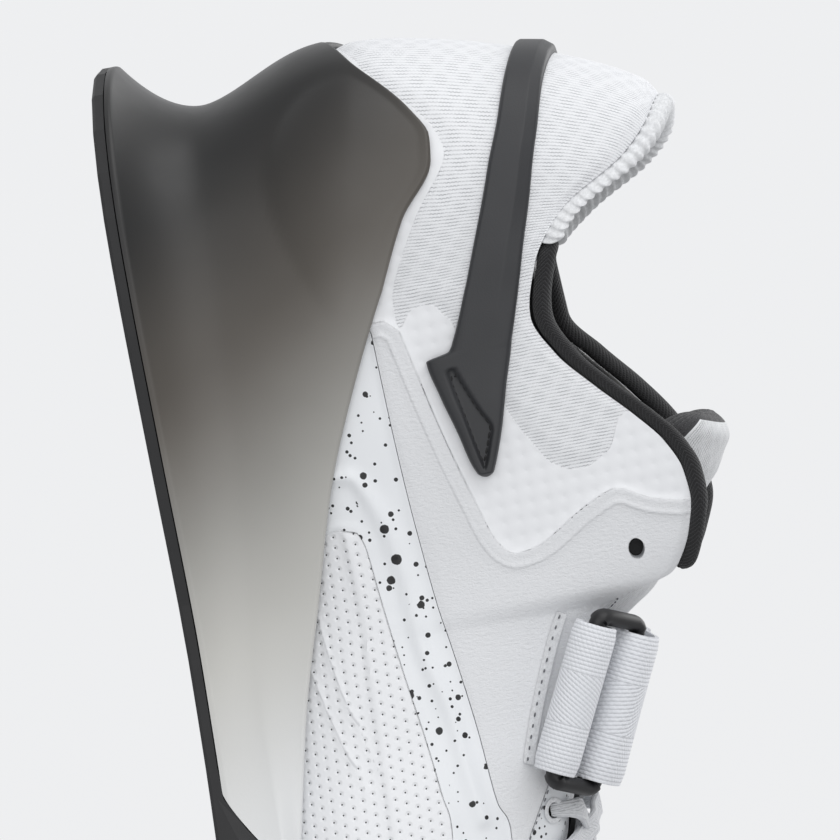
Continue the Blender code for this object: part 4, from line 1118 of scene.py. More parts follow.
class Drawing:
    """Regions and lines drawn on the flattened side, as distances in metres."""

    REFINE = 8

    def __init__(self, last: Last) -> None:
        """Keep the form that flattens the shares."""
        self.last = last

    def flat(self, outline: Outline) -> np.ndarray:
        """Outline of shares and collar heights as places in metres."""
        return np.array([(self.arc(p), up * self.last.collar) for p, up in outline])

    def arc(self, p: float) -> float:
        """Distance along the side, also a little way past its ends."""
        if p < 0:
            return 2 * self.last.arc(0.0) - self.last.arc(-p)
        if p > 1:
            return 2 * self.last.arc(1.0) - self.last.arc(2 - p)
        return self.last.arc(p)

    def smooth(self, outline: Outline) -> list[tuple[float, float]]:
        """Rounded line through the outline's points."""
        ends = [outline[0], *outline, outline[-1]]
        made = []
        for a, b, c, d in zip(ends, ends[1:], ends[2:], ends[3:]):
            for i in range(self.REFINE):
                t = i / self.REFINE
                made.append(tuple(
                    0.5 * (2 * q + (r - o) * t + (2 * o - 5 * q + 4 * r - s) * t * t
                           + (3 * q - o - 3 * r + s) * t ** 3)
                    for o, q, r, s in zip(a, b, c, d)))
        return [*made, tuple(outline[-1])]

    @staticmethod
    def distance(spots: np.ndarray, line: np.ndarray) -> np.ndarray:
        """Distance of each spot from an open line."""
        best = np.full(len(spots), 1.0)
        for a, b in zip(line, line[1:]):
            run = b - a
            length = float(run @ run) or 1e-12
            t = np.clip((spots - a) @ run / length, 0.0, 1.0)
            best = np.minimum(best, np.linalg.norm(spots - a - t[:, None] * run, axis=1))
        return best

    def region(self, spots: np.ndarray, outline: np.ndarray) -> np.ndarray:
        """Distance from a closed outline, positive inside it."""
        inside = np.zeros(len(spots), bool)
        x, y = spots[:, 0], spots[:, 1]
        for (ax, ay), (bx, by) in zip(outline, np.roll(outline, -1, axis=0)):
            if ay == by:
                continue
            crossed = (ay > y) != (by > y)
            inside ^= crossed & (x < ax + (y - ay) / (by - ay) * (bx - ax))
        edge = self.distance(spots, np.vstack([outline, outline[:1]]))
        return np.where(inside, edge, -edge)

    def mark(self, spots: np.ndarray) -> dict[str, np.ndarray]:
        """Distances of every drawn region and line.

        Args:
            spots: Places on the flattened side, one row each.

        Returns:
            Named distances, positive inside a region.
        """
        knit = [(-0.1, 1.3), (-0.1, 0.41), *self.smooth(KNIT_EDGE), (0.33, 1.3)]
        quarter = [(0.228, 0.30), (0.228, 0.45), *self.smooth(QUARTER_EDGE), (0.45, 1.3),
                   (1.2, 1.3), (1.2, 0.30)]
        panel = self.smooth(PANEL_EDGE)
        top = self.smooth(BAND_TOP)
        band = [(0.228, -0.2), (0.228, 0.40), *top, (1.2, 0.44), (1.2, 0.345), *reversed(panel),
                (0.417, -0.2)]
        holed = [(0.417, -0.2), *panel, (1.2, 0.345), (1.2, -0.2)]
        leather = self.region(spots, self.flat(quarter))
        lines = [self.smooth(line) for line in (*PANEL_SEAMS, EYESTAY_EDGE)]
        seams = [self.distance(spots, self.flat(line)) for line in lines]
        return {
            "mesh": self.region(spots, self.flat(knit)),
            "quarter": leather,
            "band": np.maximum(self.region(spots, self.flat(band)),
                               self.region(spots, self.flat(FLECKED_CORNER))),
            "panel": self.region(spots, self.flat(holed)),
            "ridge": self.distance(spots, self.flat(self.smooth(BAND_RIDGE))),
            "seam": np.minimum.reduce(seams),
        }


def soft(values: np.ndarray, start: float, end: float) -> np.ndarray:
    """Soft step from 0 at start to 1 at end, for many values."""
    t = np.clip((values - start) / (end - start), 0.0, 1.0)
    return t * t * (3 - 2 * t)


class Look(Enum):
    """Every finish of the shoe."""

    RUBBER = MouldedFinish("black_rubber", (0.016, 0.016, 0.017), 0.62)
    SMOKED = SmokedFinish("smoked_plastic", (0.2, 0.19, 0.18), 0.42)
    SKIN = SkinFinish("white_skin", (0.85, 0.86, 0.88), 0.5)
    CHARCOAL = MouldedFinish("charcoal_plastic", (0.026, 0.027, 0.030), 0.48)
    GLOSS = MouldedFinish("black_plastic", (0.008, 0.008, 0.009), 0.46)
    # the binding's shade colour is the grey of its threads, lighter than the black cords
    BINDING = WebbingFinish("black_binding", (0.012, 0.012, 0.013), 0.85, 0.1, width=1.0,
                            cord=0.8 * MM, pick=0.8 * MM, turn=math.radians(52),
                            shade=(0.055, 0.055, 0.058))
    ROLL = GrainFinish("white_roll", (0.80, 0.81, 0.825), 0.85, 0.2, depth=0.05 * MM)
    TONGUE_CLOTH = KnitFinish("tongue_cloth", (0.78, 0.79, 0.805), 0.85, 0.2,
                              row=0.9 * MM, lining=(0.014, 0.014, 0.015))
    # white webbing and lace keep the default shade colour: painted shade between the cords
    WEBBING = WebbingFinish("white_webbing", (0.83, 0.845, 0.88), 0.8, 0.15)
    LACE = WebbingFinish("white_lace", (0.66, 0.67, 0.69), 0.85, 0.15, width=5.5 * MM,
                         cord=0.9 * MM, pick=0.9 * MM)
    INSOLE = GrainFinish("grey_insole", (0.20, 0.20, 0.21), 0.9, 0.2)
    BLACK_THREAD = GrainFinish("black_thread", (0.012, 0.012, 0.013), 0.7)
    WHITE_THREAD = GrainFinish("white_thread", (0.80, 0.81, 0.83), 0.7)
    GREY_THREAD = GrainFinish("grey_thread", (0.16, 0.165, 0.18), 0.7)


@dataclass
class Palette:
    """The shoe's materials, each built on first use."""

    effects: Effects = field(default_factory=Effects)
    made: dict[Look, Material] = field(default_factory=dict)

    def get(self, look: Look) -> Material:
        """Material of one finish."""
        if look not in self.made:
            self.made[look] = look.value.make(self.effects)
        return self.made[look]


@dataclass
class Sole:
    """The moulded parts: rubber outsole, heel clip and the insole on the foot bed."""

    last: Last
    palette: Palette
    rubber: float = 2.75 * MM
    clip_end: float = 0.624
    parting_start: float = 0.563
    clip_rim: float = 1.9 * MM
    cup_gap: float = 0.95 * MM
    cup_wall: float = 1.3 * MM
    lip_height: float = 4.2 * MM
    insole_thick: float = 3.5 * MM
    insole_inset: float = 2.2 * MM

    def parting(self, s: float) -> float:
        """Height of the rubber's top under the heel clip."""
        start, end = self.parting_start * self.last.length, self.clip_end * self.last.length
        low = self.last.floor + self.rubber
        if s <= start:
            return low
        return mix(low, self.last.bed(end) - self.clip_rim, ((s - start) / (end - start)) ** 1.25)

    def clip_reach(self, p: float, side: int, z: float) -> float:
        """Reach of the heel clip's outer face: lip, concave waist and cup."""
        last = self.last
        line = last.wall(p, side)
        ground = line.ground
        waist_up = read(CLIP, "waist_up", p) * last.collar
        waist = ground - read(CLIP, "waist_in", p) * last.ball_width
        base = self.parting(last.distance(p, ground)) + CLEAR
        lip = min(last.floor + self.lip_height, mix(base, waist_up, 0.15))
        if z <= lip:
            return ground
        if z <= waist_up:
            return mix(waist, ground, ((waist_up - z) / (waist_up - lip)) ** 2)
        top_up = read(CLIP, "top", p) * last.collar
        edge = line.reach(top_up) + self.cup_gap + self.clip_rim
        t = (z - waist_up) / (top_up - waist_up)
        flared = mix(waist, edge, math.sin(t * math.pi / 2) ** 1.6)
        if z < line.foot_up:
            return flared
        return max(flared, line.reach(z) + self.cup_gap + self.cup_wall)

    def clip(self) -> Piece:
        """Heel clip with its rolled rim."""
        last = self.last
        end = last.share_round(self.clip_end * last.length)
        columns = across_heel(spread(0.0, 0.2, 64) + spread(0.2, end, 120)[1:])
        outer_steps = [ease(t) for t in spread(0.0, 1.0, 64)]
        rows: list[list[Vector]] = []
        for p, side in columns:
            line = last.wall(p, side)
            base = self.parting(last.distance(p, line.ground)) + CLEAR
            top = read(CLIP, "top", p) * last.collar
            crown = top - 0.45 * self.clip_rim
            column = []
            for t in outer_steps:
                z = mix(base, crown, t)
                column.append(last.place(p, side, self.clip_reach(p, side, z), z))
            inner = line.reach(top) + self.cup_gap
            outer = self.clip_reach(p, side, crown)
            for turn in spread(0.15, 0.95, 6):
                reach = mix(outer, inner, 0.5 - 0.5 * math.cos(turn * math.pi))
                column.append(last.place(p, side, reach,
                                         crown + 0.45 * self.clip_rim * math.sin(turn * math.pi)))
            floor = line.foot_up - CLEAR
            for t in spread(0.0, 1.0, 16):
                z = mix(top - 0.45 * self.clip_rim, floor, t)
                column.append(last.place(p, side, line.reach(max(z, line.foot_up)) + self.cup_gap, z))
            rows.append(column)
        count, levels = len(rows), len(rows[0])
        points = [column[level] for level in range(levels) for column in rows]
        faces = Mesh.bands(levels, count, False)
        for first in (0, (levels - 1) * count):
            for i in range(count // 2):
                corners = (first + i, first + i + 1, first + count - i - 2, first + count - i - 1)
                faces.append(tuple(dict.fromkeys(corners)))
        front = [level * count for level in range(levels)]
        front += [level * count + count - 1 for level in reversed(range(levels))]
        faces.append(tuple(front))
        made = Mesh.piece("clip_visual", points, faces, self.palette.get(Look.SMOKED), angle=50.0)
        return finish_piece(made, "smoked_plastic", "heel_clip")

    def insole(self) -> Piece:
        """Cloth-covered insole."""
        last = self.last
        columns = around(spread(0.0, 0.2, 24) + spread(0.2, 0.8, 70)[1:] + spread(0.8, 1.0, 24)[1:])
        shares = (0.0, 0.35, 0.7, 0.92, 1.0)
        rings: list[list[Vector]] = [[] for _ in shares]
        for p, side in columns:
            line = last.wall(p, side)
            for ring, share in zip(rings, shares):
                z = line.foot_up + share * self.insole_thick
                rounded = 1.2 * MM * max(0.0, share - 0.7) / 0.3
                reach = line.reach(z) - last.wall_thick - self.insole_inset - rounded
                spot = last.place(p, side, reach, z)
                spot.z = (last.bed(spot.x - last.shift.x) + CLEAR + share * self.insole_thick
                          - last.floor)
                ring.append(spot)
        count = len(columns)
        faces = Mesh.bands(len(rings), count, True)
        faces += Mesh.lid(0, count) + Mesh.lid((len(rings) - 1) * count, count)
        points = [point for ring in rings for point in ring]
        made = Mesh.piece("insole_visual", points, faces, self.palette.get(Look.INSOLE))
        return finish_piece(made, "grey_insole", "insole")

    def build(self) -> list[Piece]:
        """Build every moulded piece under the foot."""
        outsole = bpy.data.objects["outsole"]
        outsole.data.materials.clear()
        outsole.data.materials.append(self.palette.get(Look.RUBBER))
        return [self.clip(), self.insole()]


@dataclass
class Upper:
    """The soft shell with its drawn seams, its edgings and the bar round the heel."""

    last: Last
    palette: Palette
    rows: int = 104
    smoothing: int = 14
    overlay_rise: float = 0.55 * MM
    bead_across: float = 2.9 * MM
    bead_up: float = 2.2 * MM
    bead_seat: float = 1.5 * MM
    rim_run: float = 4.0 * MM
    bar_edge: float = 1.4 * MM
    bar_ridge: float = 2.3 * MM
    bar_crest: float = 0.66
    bar_round: float = 0.0045
    bar_end: float = 0.388
    top_eyelet: float = 0.436
    top_eyelet_drop: float = 11.5 * MM
    top_bore: float = 4.8 * MM
    top_oval: tuple[float, ...] = (1.0, 0.76, 1.0, 1.0)
    lace_bore: float = 3.8 * MM
    eyelet_set: float = 6.5 * MM
    lace_rows: tuple[float, ...] = (0.622, 0.655, 0.688, 0.720)

    def share_at_reach(self, line: Wall, reach: float) -> float:
        """Share of the wall at a reach from the middle line, above its widest point."""
        low, high = line.wide_up, line.top_up
        for _ in range(30):
            middle = (low + high) / 2
            low, high = (middle, high) if line.reach(middle) > reach else (low, middle)
        return line.share(low)

    def eyelets(self) -> list[tuple[float, int, float, float]]:
        """Plane, side, wall share and bore of every eyelet."""
        last = self.last
        seats = []
        for side in SIDES:
            p = last.share_round(self.top_eyelet * last.length)
            line = last.wall(p, side)
            seats.append((p, side, line.share(line.top_up - self.top_eyelet_drop), self.top_bore))
            for row in self.lace_rows:
                p = last.share_round(row * last.length)
                line = last.wall(p, side)
                seats.append((p, side, self.share_at_reach(line, line.top + self.eyelet_set),
                              self.lace_bore))
        return seats

    def shell(self) -> Piece:
        """Hollow shell whose skin carries the drawing as distances."""
        last = self.last
        shares = (spread(0.0, 0.2, 58) + spread(0.2, 0.5, 105)[1:] + spread(0.5, 0.53, 18)[1:]
                  + spread(0.53, 0.8, 84)[1:] + spread(0.8, 1.0, 52)[1:])
        columns = around(shares)
        levels = spread(0.0, 1.0, self.rows)
        grid = np.array([[last.on_wall(p, side, v) for p, side in columns] for v in levels])
        heights = np.array([[last.wall(p, side).height(v) for p, side in columns] for v in levels])
        for _ in range(self.smoothing):
            grid[1:-1] = 0.25 * grid[:-2] + 0.5 * grid[1:-1] + 0.25 * grid[2:]
        along = np.roll(grid, -1, axis=1) - np.roll(grid, 1, axis=1)
        out = np.cross(along, np.gradient(grid, axis=0))
        out /= np.maximum(np.linalg.norm(out, axis=2, keepdims=True), 1e-12)
        flats = np.array([last.arc(p) for p, _ in columns])
        spots = np.stack([np.broadcast_to(flats, heights.shape), heights], axis=2).reshape(-1, 2)
        marks = Drawing(last).mark(spots)
        rise = self.rise(marks).reshape(heights.shape)
        tops = np.array([last.wall(p, side).top_up for p, side in columns])
        rise *= soft(tops[None, :] - heights, 0.2 * MM, 2.5 * MM)
        rise *= soft(heights - heights[:1], 0.2 * MM, 2.0 * MM)
        skin = grid + out * rise[:, :, None]
        back_rows = list(range(self.rows - 1, 0, -4)) + [0]
        thick = np.array([[last.thickness(p, side, heights[row, i])
                           for i, (p, side) in enumerate(columns)] for row in back_rows])
        back = grid[back_rows] - out[back_rows] * thick[:, :, None]
        back[-1, :, 2] = heights[0] - last.floor
        count = len(columns)
        rings = self.rows + len(back_rows)
        points = np.concatenate([skin.reshape(-1, 3), back.reshape(-1, 3)])
        faces = Mesh.tube(rings, count, True)
        climbs = np.linalg.norm(np.diff(grid, axis=0, prepend=grid[:1]), axis=2).cumsum(axis=0)
        wide = np.argmin(np.abs(np.array(levels) - Wall.BREAK))
        climbs += heights[wide][None, :] - climbs[wide][None, :]
        flat = np.stack([np.broadcast_to(flats, climbs.shape), climbs], axis=2)
        uvs = np.concatenate([flat.reshape(-1, 2), flat[back_rows].reshape(-1, 2)])
        made = Mesh.piece("upper_shell", [Vector(point) for point in points], faces,
                          self.palette.get(Look.SKIN), weld=False, uvs=uvs)
        lined = np.zeros(len(points))
        lined[self.rows * count:] = 1.0
        fill = np.full(len(back_rows) * count, -0.05)
        for name, values in marks.items():
            self.carry(made, name, np.concatenate([values, fill]))
        self.carry(made, "lined", lined)
        self.bore(made)
        return finish_piece(made, "white_textile", "upper")

    def rise(self, marks: dict[str, np.ndarray]) -> np.ndarray:
        """Height of the layers over the plain wall.

        Args:
            marks: Named distances of the drawing.

        Returns:
            Height at every spot.
        """
        step = 0.7 * MM
        quarter = soft(marks["quarter"], -step, step) * soft(-marks["band"], -step, step)
        lip = np.exp(-(marks["quarter"] / (0.9 * MM)) ** 2) * soft(-marks["band"], 0.0, step)
        line = np.exp(-((marks["quarter"] - LINE_INSET) / (0.9 * MM)) ** 2)
        line *= soft(-np.maximum(marks["band"], marks["panel"]), 0.0, step)
        ridge = np.exp(-(marks["ridge"] / (1.7 * MM)) ** 2)
        panel = soft(marks["panel"], -step, step)
        hem = np.exp(-((marks["panel"] + 1.0 * MM) / (0.8 * MM)) ** 2)
        puff = soft(marks["mesh"], 0.0, 4.0 * MM)
        seam = np.exp(-(marks["seam"] / (0.7 * MM)) ** 2)
        return (self.overlay_rise * quarter + 0.35 * MM * lip + 0.30 * MM * line
                + 1.0 * MM * ridge + 0.3 * MM * hem - 0.25 * MM * panel + 0.5 * MM * puff
                + 0.25 * MM * seam)

    @staticmethod
    def carry(piece: Piece, name: str, values: np.ndarray) -> None:
        """Store a number at each point of a piece."""
        layer = piece.data.attributes.new(name, "FLOAT", "POINT")
        layer.data.foreach_set("value", np.asarray(values, np.float32))

    def bore(self, piece: Piece) -> None:
        """Bore the eyelets through the shell."""
        shape = bmesh.new()
        for p, side, v, bore in self.eyelets():
            turn = self.last.normal(p, side, v).to_track_quat("Z", "Y").to_matrix().to_4x4()
            turn.translation = self.last.on_wall(p, side, v)
            if bore == self.top_bore:
                turn = turn @ Matrix.Diagonal(self.top_oval)
            bmesh.ops.create_cone(shape, cap_ends=True, segments=28, radius1=bore / 2,
                                  radius2=bore / 2, depth=6 * self.last.collar_thick, matrix=turn)
        mesh = bpy.data.meshes.new("eyelet_pins")
        shape.to_mesh(mesh)
        shape.free()
        pins = add_object("eyelet_pins", mesh)
        cut = piece.modifiers.new("eyelets", "BOOLEAN")
        cut.object = pins
        cut.operation = "DIFFERENCE"
        mesh = plain_mesh(piece)
        piece.modifiers.clear()
        piece.data = mesh
        bpy.data.objects.remove(pins)

    def bead(self, name: str, columns: Sequence[Column], look: Look, strands: int = 0,
             pitch: float = 2.0 * MM, turns: int = 24, girth: float = 1.0) -> Piece:
        """Rolled edging seated on the upper's rim.

        Args:
            name: The object's name.
            columns: Plane and side of each station.
            look: Its finish.
            strands: Number of twisted strands, or none.
            pitch: Distance between strands along the edging.
            turns: Points round the edging.
            girth: How much fatter it is than the plain edging.

        Returns:
            The new object.
        """
        last = self.last
        rings, uvs, run = [], [], 0.0
        before = None
        for index, (p, side) in enumerate(columns):
            line = last.wall(p, side)
            outer = last.on_wall(p, side, 1.0)
            normal = last.normal(p, side, 1.0)
            rim = outer - normal * last.thickness(p, side, line.top_up) / 2
            below = last.on_wall(p, side, line.share(line.top_up - self.rim_run))
            up = (outer - below).normalized()
            across = (normal - up * normal.dot(up)).normalized()
            middle = rim + up * (self.bead_up + self.bead_seat)
            run += (middle - before).length if before else 0.0
            before = middle
            end = min(index, len(columns) - 1 - index) / 4
            taper = math.sqrt(max(0.15, 1 - (1 - min(1.0, end)) ** 2))
            for i in range(turns):
                angle = 2 * math.pi * i / turns
                bulge = taper * girth
                if strands:
                    bulge *= 0.95 + 0.09 * math.cos(strands * angle + 2 * math.pi * run / pitch)
                rings.append(middle + across * math.cos(angle) * self.bead_across * bulge
                             + up * math.sin(angle) * self.bead_up * bulge)
                uvs.append((turns / 2 - abs(i - turns / 2), run))
        rings = [rings[k:k + turns] for k in range(0, len(rings), turns)]
        uvs = [(u / turns * 2 * 9 * MM, v) for u, v in uvs]
        return Mesh.sweep(name, rings, self.palette.get(look), uvs=uvs)

    def edgings(self) -> list[Piece]:
        """Twisted roll behind the heel and woven bindings along the collar."""
        roll = self.bead("heel_roll_visual", across_heel(spread(0.0, 0.185, 190)), Look.ROLL,
                         strands=2, pitch=2.5 * MM, turns=48, girth=1.22)
        collar = spread(0.182, 0.508, 110)
        inner = self.bead("binding_inner_visual", [(p, -1) for p in collar], Look.BINDING)
        outer = self.bead("binding_outer_visual", [(p, 1) for p in collar], Look.BINDING)
        return [
            finish_piece(roll, "white_mesh", "heel_roll"),
            finish_piece(inner, "black_textile", "collar_binding_inner"),
            finish_piece(outer, "black_textile", "collar_binding_outer"),
        ]

    def bar(self) -> Piece:
        """Bar round the heel with a ridge, barbed tips and a recessed corner."""
        last = self.last
        shares = (spread(0.0, 0.265, 90) + spread(0.266, 0.274, 14) + spread(0.275, 0.383, 90)
                  + [self.bar_end - 0.005 * (1 - math.sin(t)) for t in spread(0.05, 1.5, 14)])
        columns = across_heel(shares)
        across = spread(0.0, 1.0, 33)
        drawing = Drawing(last)
        recess = drawing.flat(drawing.smooth(BAR_RECESS))
        rings = []
        for p, side in columns:
            line = last.wall(p, side)
            low, high = (read(BAR, name, p) * last.collar for name in ("low", "high"))
            past = min(0.98, max(0.0, (p - self.bar_end + self.bar_round) / self.bar_round))
            narrow = (1 - math.sqrt(1 - past * past)) / 2
            low, high = mix(low, high, narrow), mix(high, low, narrow)
            heights = [mix(low, high, t) for t in across]
            spots = np.array([(last.arc(p), z) for z in heights])
            dug = soft(drawing.region(spots, recess), -0.4 * MM, 0.5 * MM)
            tip = ease((self.bar_end - p) / 0.006 + 0.25)
            over, under = [], []
            for t, z, deep in zip(across, heights, dug):
                crest = self.bar_crest
                slope = (t - crest) / (1 - crest) if t > crest else (crest - t) / crest
                ridge = mix(self.bar_ridge, self.bar_edge, slope)
                flat_out = mix(2.1 * MM, self.bar_edge, abs(2 * t - 1) ** 6)
                ridge = mix(ridge, flat_out, ease((p - 0.2) / 0.08))
                edge = min(t, 1 - t) * (high - low)
                rounded = math.sqrt(max(0.0, 1 - (1 - min(1.0, edge / (0.7 * MM))) ** 2))
                lift = (ridge * mix(0.35, 1.0, rounded)) * tip - 1.1 * MM * deep
                normal = last.normal(p, side, line.share(z))
                base = last.on_wall(p, side, line.share(z))
                over.append(base + normal * (CLEAR + max(0.3 * MM, lift) + 0.5 * MM))
                under.append(base + normal * CLEAR)
            rings.append(over + list(reversed(under)))
        made = Mesh.sweep("bar_visual", rings, self.palette.get(Look.CHARCOAL), angle=60.0)
        return finish_piece(made, "charcoal_plastic", "heel_bar")

    def build(self) -> list[Piece]:
        """Build the shell and everything fixed to it."""
        return [self.shell(), *self.edgings(), self.bar()]


@dataclass
class TonguePad:
    """Padded tongue with a black lining that rolls over its top."""

    last: Last
    palette: Palette
    thick: float = 5.0 * MM
    roll_thick: float = 10.0 * MM
    roll_run: float = 28.0 * MM
    roll_edge: float = 4.5 * MM
    lined_front: float = 1.3 * MM
    lined_side: float = 6.0 * MM
    stations: int = 80
    across: int = 41
    corner: float = 5.0 * MM
    edge_points: int = 7
    spread_uv: float = 24 * MM

    @staticmethod
    def rounding(run: float, radius: float) -> float:
        """Height share of a quarter round at a distance from its start."""
        return math.sqrt(max(0.03, 1 - (1 - min(1.0, run / radius)) ** 2))

    def side(self, front: Vector, back: Vector, end: int) -> list[Vector]:
        """Rounded edge from the front's border to the back's."""
        out = Vector((0.0, 1.0 if end else -1.0, 0.0)) * (front - back).length * 0.35
        shares = spread(0.0, 1.0, self.edge_points + 2)[1:-1]
        return [mix_points(front, back, t) + out * math.sin(math.pi * t) for t in shares]

    def surface(self, along: float, t: float) -> tuple[Vector, Vector]:
        """Point and outward direction of the tongue's front face."""
        last = self.last
        step = 0.01
        first, end = TONGUE[0].along, TONGUE[-1].along
        rise = (read(TONGUE, "up", along + step) - read(TONGUE, "up", along - step)) * last.instep
        run = (min(along + step, end) - max(along - step, first)) * last.length
        out = Vector((-rise, 0.0, run)).normalized()
        s = along * last.length
        middle = Vector((s, last.centre(s), read(TONGUE, "up", along) * last.instep))
        half, drop = (read(TONGUE, name, along) * last.ball_width for name in ("half", "drop"))
        return middle + Vector((0.0, half * t, 0.0)) - out * drop * t * t + last.shift, out

    def build(self) -> list[Piece]:
        """Build the padded tongue."""
        first, last_along = TONGUE[0].along, TONGUE[-1].along
        turn = self.corner / self.last.length
        stations = [first + turn * (1 - math.cos(t)) for t in spread(0.06, math.pi / 2, 16)]
        stations += spread(first + turn, last_along, self.stations)[1:]
        shares = spread(-1.0, 1.0, self.across)
        rings, uvs, lined = [], [], []
        for along in stations:
            start = (along - first) * self.last.length
            fill = self.rounding(start, self.roll_edge)
            half = read(TONGUE, "half", along) * self.last.ball_width
            narrow = 1 - self.corner / half * (1 - self.rounding(start, self.corner))
            settled = ease(start / self.roll_run)
            thick = mix(self.roll_thick, self.thick, settled)
            face, back = [], []
            for t in shares:
                spot, out = self.surface(along, t * narrow)
                edge = 1 - mix(0.2, 0.6, settled) * abs(t) ** 3
                quilt = 0.35 * MM * math.sin(start / (7.5 * MM) * math.pi) ** 2
                front = spot - out * thick * edge * 0.5 * (1 - fill)
                face.append(front + out * quilt * (1 - t * t))
                back.append(spot - out * thick * edge * (0.5 + 0.5 * fill))
            sides = [self.side(face[end], back[end], end) for end in (-1, 0)]
            rings.append(face + sides[0] + back[::-1] + sides[1][::-1])
            across = [t * self.spread_uv for t in shares]
            edge_run = [self.spread_uv * (1 + 0.03 * k) for k in range(self.edge_points)]
            uvs += [(x, start) for x in across + edge_run + across[::-1]
                    + [-x for x in reversed(edge_run)]]
            front_lined = 1.0 if start < self.lined_front else 0.0
            side_lined = [1.0 if start < self.lined_side else 0.0] * self.edge_points
            lined += [front_lined] * len(shares) + side_lined + [1.0] * len(shares) + side_lined
        made = Mesh.sweep("tongue_pad", rings, self.palette.get(Look.TONGUE_CLOTH), uvs=uvs)
        if len(made.data.vertices) == len(lined):
            Upper.carry(made, "lined", np.array(lined))
        return [finish_piece(made, "white_mesh", "tongue")]


@dataclass
class InstepStrap:
    """Webbing strap, its sewn loop, the ring between them and the lace in front."""

    last: Last
    palette: Palette
    upper: Upper
    webbing: float = 35.0 * MM
    thick: float = 2.0 * MM
    gap: float = 0.5 * MM
    lift: float = 1.2 * MM
    slope: float = math.radians(26.5)
    middle_share: float = 0.548
    base_share: float = 0.945
    core: float = 45.0 * MM
    arch: float = 45.0 * MM
    throat: float = math.radians(24.0)
    ring_bar: float = 1.9 * MM
    ring_length: float = 43.0 * MM
    ring_corner: float = 2.4 * MM
    fold_turn: float = math.radians(25.0)
    fold_inner: float = 2.8 * MM
    anchor_outer: float = 5.2 * MM
    anchor_turn: float = math.radians(40.2)
    anchor_tail: float = math.radians(46.8)
    lower_end: float = math.radians(112.0)
    upper_end: float = math.radians(72.0)
    lace_width: float = 5.5 * MM
    lace_thick: float = 1.5 * MM
    lace_lift: float = 1.1 * MM
    stations: int = 14
    edge_share: float = 0.55
    girths: dict[tuple[float, float], float] = field(default_factory=dict)

    def point(self, along: float, across: float, up: float) -> Vector:
        """Point from the strap's frame: along the instep, across the foot and off it."""
        last = self.last
        cos, sin = math.cos(self.slope), math.sin(self.slope)
        middle = self.middle_share * last.length
        s = middle + along * cos + up * sin
        return Vector((s, across + last.centre(middle),
                       self.base_share * last.instep - along * sin + up * cos)) + last.shift

    def inside(self, spot: Vector) -> bool:
        """Whether a point beside the instep lies inside the upper's outer face."""
        last = self.last
        raw = spot - last.shift
        middle = last.centre(raw.x)
        line = last.wall(last.share_round(raw.x), -1 if raw.y < middle else 1)
        if raw.z >= line.top_up:
            return False
        return abs(raw.y - middle) < line.reach(max(raw.z, line.foot_up)) + 0.7 * MM

    def girth(self, turn: float, along: float) -> float:
        """Distance from the strap's core to the upper's face."""
        key = (round(turn, 6), round(along, 7))
        if key not in self.girths:
            low, high = 0.0, 0.5 * self.last.ball_width + self.core
            for _ in range(16):
                middle = (low + high) / 2
                spot = self.point(along, math.sin(turn) * middle, math.cos(turn) * middle - self.core)
                low, high = (middle, high) if self.inside(spot) else (low, middle)
            self.girths[key] = low
        return self.girths[key]

    def reach(self, turn: float, along: float) -> float:
        """Distance from the core to the strap's underside, arched over the throat."""
        if abs(turn) >= self.throat:
            return self.girth(turn, along) + self.lift
        edge = self.girth(math.copysign(self.throat, turn), along) + self.lift
        return mix(self.arch, edge, ease(abs(turn) / self.throat))

    def polar(self, turn: float, along: float, reach: float) -> Vector:
        """Point from a turn and a distance from the core."""
        return self.point(along, math.sin(turn) * reach, math.cos(turn) * reach - self.core)

    def fold_bar(self) -> float:
        """Reach of the bar that the strap folds round."""
        return max(self.reach(-self.fold_turn, along) for along in spread(
            -self.webbing / 2, self.webbing / 2, 4)) + self.thick + self.fold_inner

    def bars(self) -> tuple[tuple[float, float], tuple[float, float]]:
        """Across and up of the ring's two bars."""
        seat = max(self.girth(-self.anchor_turn, along)
                   for along in spread(-self.webbing / 2, self.webbing / 2, 4))
        spots = ((-self.fold_turn, self.fold_bar()),
                 (-self.anchor_turn, seat + self.lift + self.anchor_outer))
        fold, anchor = ((math.sin(turn) * reach, math.cos(turn) * reach - self.core)
                        for turn, reach in spots)
        return fold, anchor

    def tape(self, name: str, tracks: Sequence[tuple[list[Vector], list[Vector]]], closed: bool,
             look: Look = Look.WEBBING) -> Piece:
        """Webbing solid from the under and over tracks of each station across its width.

        Args:
            name: The object's name.
            tracks: Under and over points, one pair for each station.
            closed: Whether each track is a loop.
            look: Its finish.

        Returns:
            The new object.
        """
        _, first_over = tracks[0]
        runs = [0.0]
        for a, b in zip(first_over, first_over[1:]):
            runs.append(runs[-1] + (b - a).length)
        rings, uvs = [], []
        last_station = len(tracks) - 1

        def face(i: int, upper: bool) -> list[Vector]:
            """One face's points at a station, thinner along the tape's edges."""
            share = self.edge_share if i in (0, last_station) else 1.0
            return [mix_points(*((u, o) if upper else (o, u)), 0.5 + 0.5 * share)
                    for u, o in zip(*tracks[i])]

        def places(i: int, along: Iterable[float]) -> list[tuple[float, float]]:
            """Flat place of every point at a station."""
            return [(i / last_station * self.webbing, run) for run in along]

        for i in range(len(tracks)):
            rings.append(face(i, True) if closed else face(i, False) + face(i, True)[::-1])
            uvs += places(i, runs if closed else runs + runs[::-1])
        if closed:
            for i in range(last_station, -1, -1):
                rings.append(face(i, False))
                uvs += places(i, runs)
        return Mesh.sweep(name, rings, self.palette.get(look), closed=closed, uvs=uvs,
                          angle=50.0)

